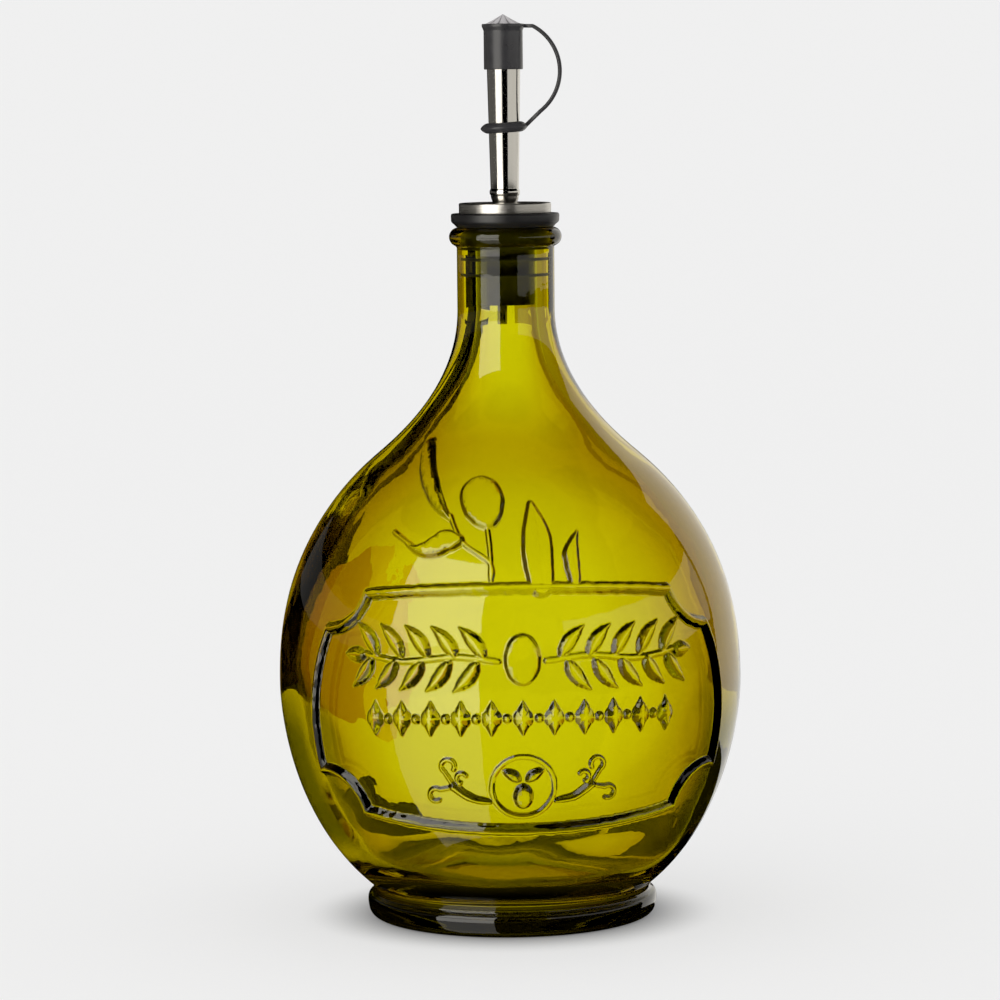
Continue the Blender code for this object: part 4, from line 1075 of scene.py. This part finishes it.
def build_cap():
    """Soft cap over the tip of the spout, flared at its top rim."""
    profile = [(0.0, CAP_HOLLOW_TOP), (CAP_HOLLOW_RADIUS, CAP_HOLLOW_TOP), (CAP_HOLLOW_RADIUS, CAP_BOTTOM)]
    profile += [(CAP_RADIUS, CAP_BOTTOM), (CAP_RADIUS, CAP_TOP - 1.3)]
    profile += [(CAP_LIP_RADIUS, CAP_TOP - 0.1), (CAP_LIP_RADIUS, CAP_LIP_TOP)]
    profile += [(CROWN_RADIUS + 0.15, CAP_LIP_TOP), (CROWN_RADIUS + 0.05, CAP_TOP), (0.0, CAP_TOP)]
    profile = [profile[0]] + rounded(profile[1:-1], 0.3) + [profile[-1]]
    vertices, faces = turned(profile, ROUND_SIDES)
    material = rubber_material("cap_rubber", *CAP_FINISH)
    cap = make_object("cap_rubber", vertices, faces, material)
    ride_for(cap, "spout_cap")
    return material


def build_strap(material):
    """The flat strap that loops from the cap's rim down to the ring on the spout."""
    path = [STRAP_ROOT] + arc(STRAP_CENTRE, STRAP_RADIUS, STRAP_START, STRAP_FINISH, 64) + [STRAP_END]
    corner = STRAP_THICKNESS * 0.3
    half_width, half_thickness = STRAP_WIDTH / 2.0, STRAP_THICKNESS / 2.0
    section = []
    for centre_u, centre_v, start in ((1, 1, 0), (-1, 1, 90), (-1, -1, 180), (1, -1, 270)):
        centre = (centre_u * (half_width - corner), centre_v * (half_thickness - corner))
        section += arc(centre, corner, start, start + 90, 4)
    vertices, faces = [], []
    for index, (x, z) in enumerate(path):
        before, after = path[max(index - 1, 0)], path[min(index + 1, len(path) - 1)]
        along = Vector((after[0] - before[0], after[1] - before[1])).normalized()
        for side, out in section:
            vertices.append((x - along.y * out, side, z + along.x * out))
    count = len(section)
    for row in range(len(path) - 1):
        for corner_index in range(count):
            following = (corner_index + 1) % count
            faces.append((row * count + corner_index, row * count + following,
                          (row + 1) * count + following, (row + 1) * count + corner_index))
    faces.append(tuple(range(count)))
    faces.append(tuple(range((len(path) - 1) * count, len(path) * count)))
    strap = make_object("strap_rubber", vertices, faces, material)
    ride_for(strap, "spout_cap")


def build_hold_ring(material):
    """The ring round the spout that the strap ends in, thick at the tube and thin at its rim."""
    section = []
    for share in np.linspace(0.0, 1.0, 9):
        half = HOLD_RING_HALF_THICKNESS * math.cos(math.pi / 2.0 * share) ** 0.8 + 0.12
        section.append((HOLD_RING_INNER + (HOLD_RING_OUTER - HOLD_RING_INNER) * share, -half))
    section += [(radius, -height) for radius, height in reversed(section)]
    vertices, faces = turned(section, ROUND_SIDES, closed=True)
    tilt = Matrix.Rotation(math.radians(-HOLD_RING_TILT), 3, "Y")
    vertices = [tilt @ Vector(vertex) + Vector((0.0, 0.0, HOLD_RING_HEIGHT)) for vertex in vertices]
    ring = make_object("ring_rubber", vertices, faces, material)
    ring.data.set_sharp_from_angle(angle=math.radians(60))
    ride_for(ring, "spout_cap")


def build_crown():
    """The pleated, pointed crown set in the top of the cap. Painted shade for its folds, tip and skirt is
    stored on the mesh.
    """
    sides = CROWN_COLUMNS
    levels = np.linspace(0.0, 1.0, CROWN_ROWS)
    vertices, fold_shades, faces = [], [], []
    for share in levels[:-1]:
        radius = CROWN_RADIUS * (1.0 - share)
        for side in range(sides):
            angle = math.tau * side / sides
            pleat = (side / sides * CROWN_PLEATS + 0.5) % 1.0
            from_fold = min(pleat, 1.0 - pleat)
            painted_fold_shade = max(0.0, 1.0 - from_fold / CROWN_VALLEY_WIDTH) * (1.0 - share * 0.4)
            ridge = 1.0 - min(1.0, from_fold / 0.5)
            slope = CROWN_BOTTOM + CROWN_EDGE
            slope += (CROWN_TIP - CROWN_BOTTOM - CROWN_EDGE) * share ** CROWN_CURVE
            height = slope - CROWN_VALLEY_DEPTH * ridge * math.sin(math.pi * min(1.0, share + 0.25))
            vertices.append((radius * math.sin(angle), -radius * math.cos(angle), height))
            fold_shades.append(painted_fold_shade)
    tip = len(vertices)
    vertices.append((0.0, 0.0, CROWN_TIP))
    fold_shades.append(CROWN_TIP_SHADE)
    for row in range(len(levels) - 2):
        for side in range(sides):
            following = (side + 1) % sides
            faces.append((row * sides + side, row * sides + following,
                          (row + 1) * sides + following, (row + 1) * sides + side))
    last = (len(levels) - 2) * sides
    for side in range(sides):
        faces.append((last + side, last + (side + 1) % sides, tip))
    skirt = len(vertices)
    for side in range(sides):
        angle = math.tau * side / sides
        vertices.append((CROWN_RADIUS * math.sin(angle), -CROWN_RADIUS * math.cos(angle), CROWN_BOTTOM))
        fold_shades.append(CROWN_SKIRT_SHADE)
    for side in range(sides):
        following = (side + 1) % sides
        faces.append((side, following, skirt + following, skirt + side))
    faces.append(tuple(range(skirt, skirt + sides)))
    crown = make_object("crown_gloss", vertices, faces, crown_material())
    # Painted shade in the folds, at the tip and round the skirt
    attribute = crown.data.attributes.new("painted_fold_shade", "FLOAT", "POINT")
    attribute.data.foreach_set("value", fold_shades)
    crown.data.set_sharp_from_angle(angle=math.radians(35))
    ride_for(crown, "cap_crown")


# Stage

def emitter(name, colour, strength):
    material = bpy.data.materials.new(name)
    material.use_nodes = True
    tree = material.node_tree
    tree.nodes.remove(tree.nodes["Principled BSDF"])
    light = tree.nodes.new("ShaderNodeEmission")
    light.inputs["Color"].default_value = (*colour, 1.0)
    light.inputs["Strength"].default_value = strength
    material.cycles.emission_sampling = "NONE"
    tree.links.new(light.outputs["Emission"], tree.nodes["Material Output"].inputs["Surface"])
    return material


def bowl_material():
    """Pale matt surface that also glows a little, so that it stays even all round, except for a painted
    shadow under the bottle where it does not glow.
    """
    material = bpy.data.materials.new("stage_pale")
    material.use_nodes = True
    tree = material.node_tree
    shader = tree.nodes["Principled BSDF"]
    shader.inputs["Base Color"].default_value = (BOWL_PALE, BOWL_PALE, BOWL_PALE, 1.0)
    shader.inputs["Roughness"].default_value = 1.0
    shader.inputs["Specular IOR Level"].default_value = 0.0
    shader.inputs["Emission Color"].default_value = (1.0, 1.0, 1.0, 1.0)
    place = tree.nodes.new("ShaderNodeTexCoord")
    length = tree.nodes.new("ShaderNodeVectorMath")
    length.operation = "LENGTH"
    tree.links.new(place.outputs["Object"], length.inputs[0])
    # The glow fades out towards the middle: a painted shadow under the bottle
    fade = tree.nodes.new("ShaderNodeMapRange")
    fade.interpolation_type = "SMOOTHSTEP"
    fade.inputs["From Min"].default_value = PAINTED_SHADOW_CORE * MM
    fade.inputs["From Max"].default_value = PAINTED_SHADOW_EDGE * MM
    fade.inputs["To Min"].default_value = 0.0
    fade.inputs["To Max"].default_value = BOWL_GLOW
    tree.links.new(length.outputs["Value"], fade.inputs["Value"])
    tree.links.new(fade.outputs["Result"], shader.inputs["Emission Strength"])
    material.cycles.emission_sampling = "NONE"
    return material


def seen_by(thing, camera=False, diffuse=False, glossy=False, transmission=False, shadow=False):
    thing.visible_camera = camera
    thing.visible_diffuse = diffuse
    thing.visible_glossy = glossy
    thing.visible_transmission = transmission
    thing.visible_shadow = shadow


def ribbon(name, start, end, edges, steps, material):
    """A strip on an arc round the bottle, with an edge at each of two places, (distance, height).

    Angles are in degrees from the front, positive to the right.
    """
    vertices, faces = [], []
    for step in range(steps + 1):
        angle = math.radians(start + (end - start) * step / steps)
        for distance, height in edges:
            vertices.append((distance * math.sin(angle), -distance * math.cos(angle), height))
    for step in range(steps):
        faces.append((2 * step, 2 * step + 2, 2 * step + 3, 2 * step + 1))
    strip = make_object(name, vertices, faces, material)
    return strip


def panel(name, start, end, low, high, distance, colour, strength=1.0):
    """An upright glowing panel."""
    edges = ((distance, low), (distance, high))
    return ribbon(name, start, end, edges, 12, emitter(name, colour, strength))


def build_stage():
    profile = [(0.0, 0.0)]
    profile += line((60.0, 0.0), (BOWL_FLOOR_RADIUS, 0.0), 20)
    profile += arc((BOWL_FLOOR_RADIUS, BOWL_CURVE), BOWL_CURVE, -90, 0, 24)[1:]
    profile += [(BOWL_FLOOR_RADIUS + BOWL_CURVE, BOWL_HEIGHT)]
    vertices, faces = turned(profile, 128)
    bowl = make_object("stage_bowl", vertices, faces, bowl_material())
    seen_by(bowl, camera=True, diffuse=True, glossy=False, transmission=True, shadow=True)

    for *place, strength in KEY_PANELS:
        seen_by(panel(*place, KEY_DISTANCE, KEY_COLOUR, strength), glossy=True)
    for *place, strength in SOFT_PANELS:
        seen_by(panel(*place, SOFT_DISTANCE, SOFT_COLOUR, strength), diffuse=True)
    for values in DARK_PANELS:
        seen_by(panel(*values), transmission=True)
    for name, start, end, near_edge, far_edge, colour in DARK_FLOORS:
        edges = ((near_edge, DARK_FLOOR_HEIGHT), (far_edge, DARK_FLOOR_HEIGHT))
        seen_by(ribbon(name, start, end, edges, 36, emitter(name, colour, 1.0)), transmission=True)


def build_world():
    world = bpy.data.worlds.new("studio")
    bpy.context.scene.world = world
    world.use_nodes = True
    background = world.node_tree.nodes["Background"]
    background.inputs["Color"].default_value = (1.0, 1.0, 1.0, 1.0)
    background.inputs["Strength"].default_value = WORLD_LIGHT
    world.cycles.sampling_method = "NONE"
    world.cycles_visibility.glossy = False
    world.cycles_visibility.transmission = False


def build_camera():
    camera = bpy.data.objects.new("camera", bpy.data.cameras.new("camera"))
    bpy.context.scene.collection.objects.link(camera)
    camera.data.sensor_width = 36.0
    camera.data.lens = CAMERA_LENS
    camera.data.clip_start = 0.05
    camera.data.clip_end = 20.0
    side = math.radians(CAMERA_SIDE)
    place = Vector((math.sin(side) * CAMERA_DISTANCE, -math.cos(side) * CAMERA_DISTANCE,
                    CAMERA_HEIGHT)) * MM
    turn_side = Matrix.Rotation(side + math.radians(CAMERA_YAW), 4, "Z")
    turn_down = Matrix.Rotation(math.radians(90.0 - CAMERA_PITCH), 4, "X")
    turn_roll = Matrix.Rotation(math.radians(CAMERA_ROLL), 4, "Z")
    camera.matrix_world = Matrix.Translation(place) @ turn_side @ turn_down @ turn_roll
    bpy.context.scene.camera = camera


def set_light_paths():
    """Let light cross the many surfaces of the thick glass."""
    scene = bpy.context.scene
    scene.view_settings.view_transform = "Standard"
    scene.cycles.max_bounces = GLASS_BOUNCES
    scene.cycles.transmission_bounces = GLASS_BOUNCES
    scene.cycles.glossy_bounces = GLOSSY_BOUNCES
    scene.cycles.diffuse_bounces = DIFFUSE_BOUNCES
    scene.cycles.transparent_max_bounces = GLOSSY_BOUNCES


build_glass()
build_stopper()
build_disc()
build_spout()
build_vent()
cap_material = build_cap()
build_strap(cap_material)
build_hold_ring(cap_material)
build_crown()
build_stage()
build_world()
build_camera()
set_light_paths()
